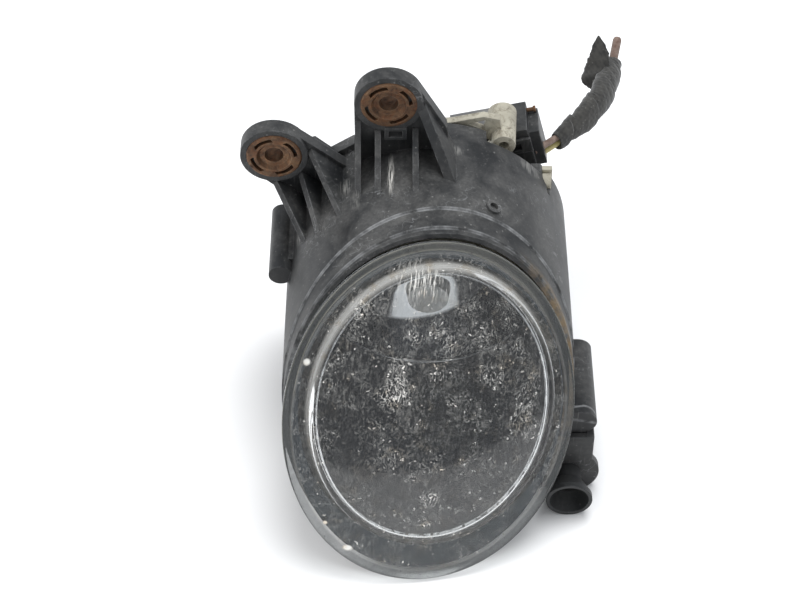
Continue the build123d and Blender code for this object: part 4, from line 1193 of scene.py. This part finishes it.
def domeLoops(shrink, inset, shoulder, footHeight):
    # from the wall's foot, up over the rounded shoulder and in to the middle
    a, b = lensShape["dome"][0] - shrink, lensShape["dome"][1] - shrink
    rise = lensShape["rise"]
    loops = []
    for share in (0.0, 0.35, 0.7, 1.0):
        def wallHeight(x, y, share=share):
            return footHeight + (domeHeight(x, y, inset) - shoulder - footHeight) * share
        loops.append(oval((a, b), rise, wallHeight))
    for step in range(1, 9):
        angle = math.pi / 2 * step / 8
        back = shoulder * (1 - math.cos(angle))
        drop = shoulder * (1 - math.sin(angle))
        loops.append(oval((a - back, b - back), rise, lambda x, y, d=drop: domeHeight(x, y, inset) - d))
    for step in range(1, 31):
        share = 1 - step / 31
        half = ((a - shoulder) * share, (b - shoulder) * share)
        loops.append(oval(half, rise, lambda x, y: domeHeight(x, y, inset)))
    pole = Vector((0, rise, domeHeight(0, rise, inset))) * mm
    return loops, pole


def flangeTop(lift=0.0):
    # from the rim's outer edge over its rounded corner to the foot of the dome
    rim = lensShape["rim"]
    foot = lensShape["foot"]
    loops = []
    for step in range(0, 7):
        angle = math.pi / 2 * step / 6
        back = 0.9 * (1 - math.cos(angle))
        drop = 0.9 * (1 - math.sin(angle))
        loops.append(oval((rim[0] + lift - back, rim[1] + lift - back), 0, lift - drop))
    outer = (rim[0] - 0.9, rim[1] - 0.9)
    inner = (lensShape["dome"][0] + foot, lensShape["dome"][1] + foot)
    for step in range(1, 13):
        share = step / 12
        half = tuple(o + (i - o) * share for o, i in zip(outer, inner))
        # a shallow ring runs round the rim a third of the way in
        ridge = 0.35 * math.exp(-((share - 0.42) / 0.10) ** 2)
        loops.append(oval(half, lensShape["rise"] * share, lift + ridge))
    for step in range(1, 6):
        angle = math.pi / 2 * step / 6
        back = foot * math.sin(angle)
        rise = foot * (1 - math.cos(angle))
        half = (inner[0] - back + lift, inner[1] - back + lift)
        loops.append(oval(half, lensShape["rise"], lift + rise))
    return loops


def makeLens():
    edge = lensShape["edge"]
    wall = lensShape["wall"]
    rim = lensShape["rim"]
    topDome, topPole = domeLoops(0, 0, lensShape["shoulder"], lensShape["foot"])
    loops = []
    for back, height in ((0.9, -edge), (0.35, -edge + 0.12), (0.0, -edge + 0.6)):
        loops.append(oval((rim[0] - back, rim[1] - back), 0, height))
    outside = loops + flangeTop() + topDome
    innerDome, innerPole = domeLoops(wall, wall, 0.9, -edge + 0.3)
    under = []
    for step in range(0, 7):
        share = step / 6
        a = lensShape["dome"][0] - wall + 0.3
        b = lensShape["dome"][1] - wall + 0.3
        half = (rim[0] - 0.9 + (a - rim[0] + 0.9) * share, rim[1] - 0.9 + (b - rim[1] + 0.9) * share)
        if step:
            under.append(oval(half, lensShape["rise"] * share, -edge))
    inside = under + innerDome
    whole = list(reversed(inside)) + outside
    points, faces = joinLoops(whole, startPole=innerPole, endPole=topPole)
    lens = addMesh("lensGlass", [lensFrame() @ p for p in points], faces)
    dress(lens, "clearLens")
    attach(lens, "lamp_unit")
    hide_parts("lens")
    return lens


def makeLensGrimeAndPaintedLight():
    gap = lensShape["filmGap"]
    dome, pole = domeLoops(-gap, -gap, lensShape["shoulder"], lensShape["foot"])
    loops = flangeTop(gap) + dome
    points, faces = joinLoops(loops, endPole=pole)
    film = addMesh("lensDirtAndPaintedLight", [lensFrame() @ p for p in points], faces)
    dress(film, "lensGrimeAndPaintedLight")
    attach(film, "lamp_unit")
    return film


band = {"outer": (48.6, 58.9), "inner": (42.6, 50.2), "top": -3.03, "thick": 0.25}


def makeBondingBand():
    # black adhesive band on the back of the lens's rim, which gives the dark ring seen through it
    loops = []
    rise = lensShape["rise"]
    for half, middle, height in (
        (band["inner"], rise, band["top"] - band["thick"]),
        (band["inner"], rise, band["top"]),
        (band["outer"], 0.2, band["top"]),
        (band["outer"], 0.2, band["top"] - band["thick"]),
    ):
        loops.append(oval(half, middle, height))
    points, faces = joinLoops(loops, closed=True)
    ring = addMesh("bondingBand", [lensFrame() @ p for p in points], faces, smooth=False)
    dress(ring, "bondBlack")
    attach(ring, "lamp_unit")


makeLens()
makeLensGrimeAndPaintedLight()
makeBondingBand()
print("lens is made")


bowl = {
    "vertex": 6.0,
    "focal": 15.0,
    "hole": 7.0,
    "mouth": 34.0,
    "lip": 41.65,
    "wall": 1.2,
    "base": 21.0,
    "baseBack": 4.4,
    "baseDepth": 6.7,
    "segments": 256,
    "steps": 56,
}


def spun(name, profile, segments):
    # a closed profile of (forward, radius) turned about the lamp's axis
    loops = []
    for forward, radius in profile:
        loop = []
        for i in range(segments):
            turn = 2 * math.pi * i / segments
            loop.append(place(radius * math.cos(turn), forward, radius * math.sin(turn)))
        loops.append(loop)
    points, faces = joinLoops(loops, closed=True)
    return addMesh(name, points, faces)


def makeReflector():
    edge = math.sqrt(4 * bowl["focal"] * (bowl["mouth"] - bowl["vertex"]))
    steps = bowl["steps"]
    inner = []
    for i in range(steps + 1):
        radius = bowl["hole"] + (edge - bowl["hole"]) * i / steps
        inner.append((bowl["vertex"] + radius**2 / (4 * bowl["focal"]), radius))
    mouth = bowl["mouth"]
    brim = bowl["lip"]
    lip = [(mouth + 0.7, edge + 0.1), (mouth + 0.95, edge + 0.3), (mouth + 1.0, brim - 0.1)]
    lip += [(mouth + 0.9, brim), (mouth - 0.5, brim), (mouth - 0.6, brim - 0.1)]
    wall = bowl["wall"]
    outer = [(f - wall, r + wall * 0.5) for f, r in inner if bowl["base"] < r < edge - 0.6]
    back = bowl["baseBack"]
    base = [(back + bowl["baseDepth"], bowl["base"]), (back, bowl["base"]), (back, bowl["hole"])]
    profile = inner + lip + list(reversed(outer)) + base
    dish = spun("reflectorBowl", profile, bowl["segments"])
    for face in dish.data.polygons:
        face.flip()
    dish.data.set_sharp_from_angle(angle=math.radians(40))
    dress(dish, "brightReflector")
    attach(dish, "lamp_unit")
    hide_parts("reflector")


makeReflector()
print("reflector is made")


def makeFloor():
    half = studio["floorSize"]
    up = studio["floorUp"]
    corners = [(-half, -half, up), (half, -half, up), (half, half, up), (-half, half, up)]
    floor = addMesh("studioFloor", corners, [(0, 1, 2, 3)], smooth=False)
    floor.data.materials.append(floorLook())


makeFloor()
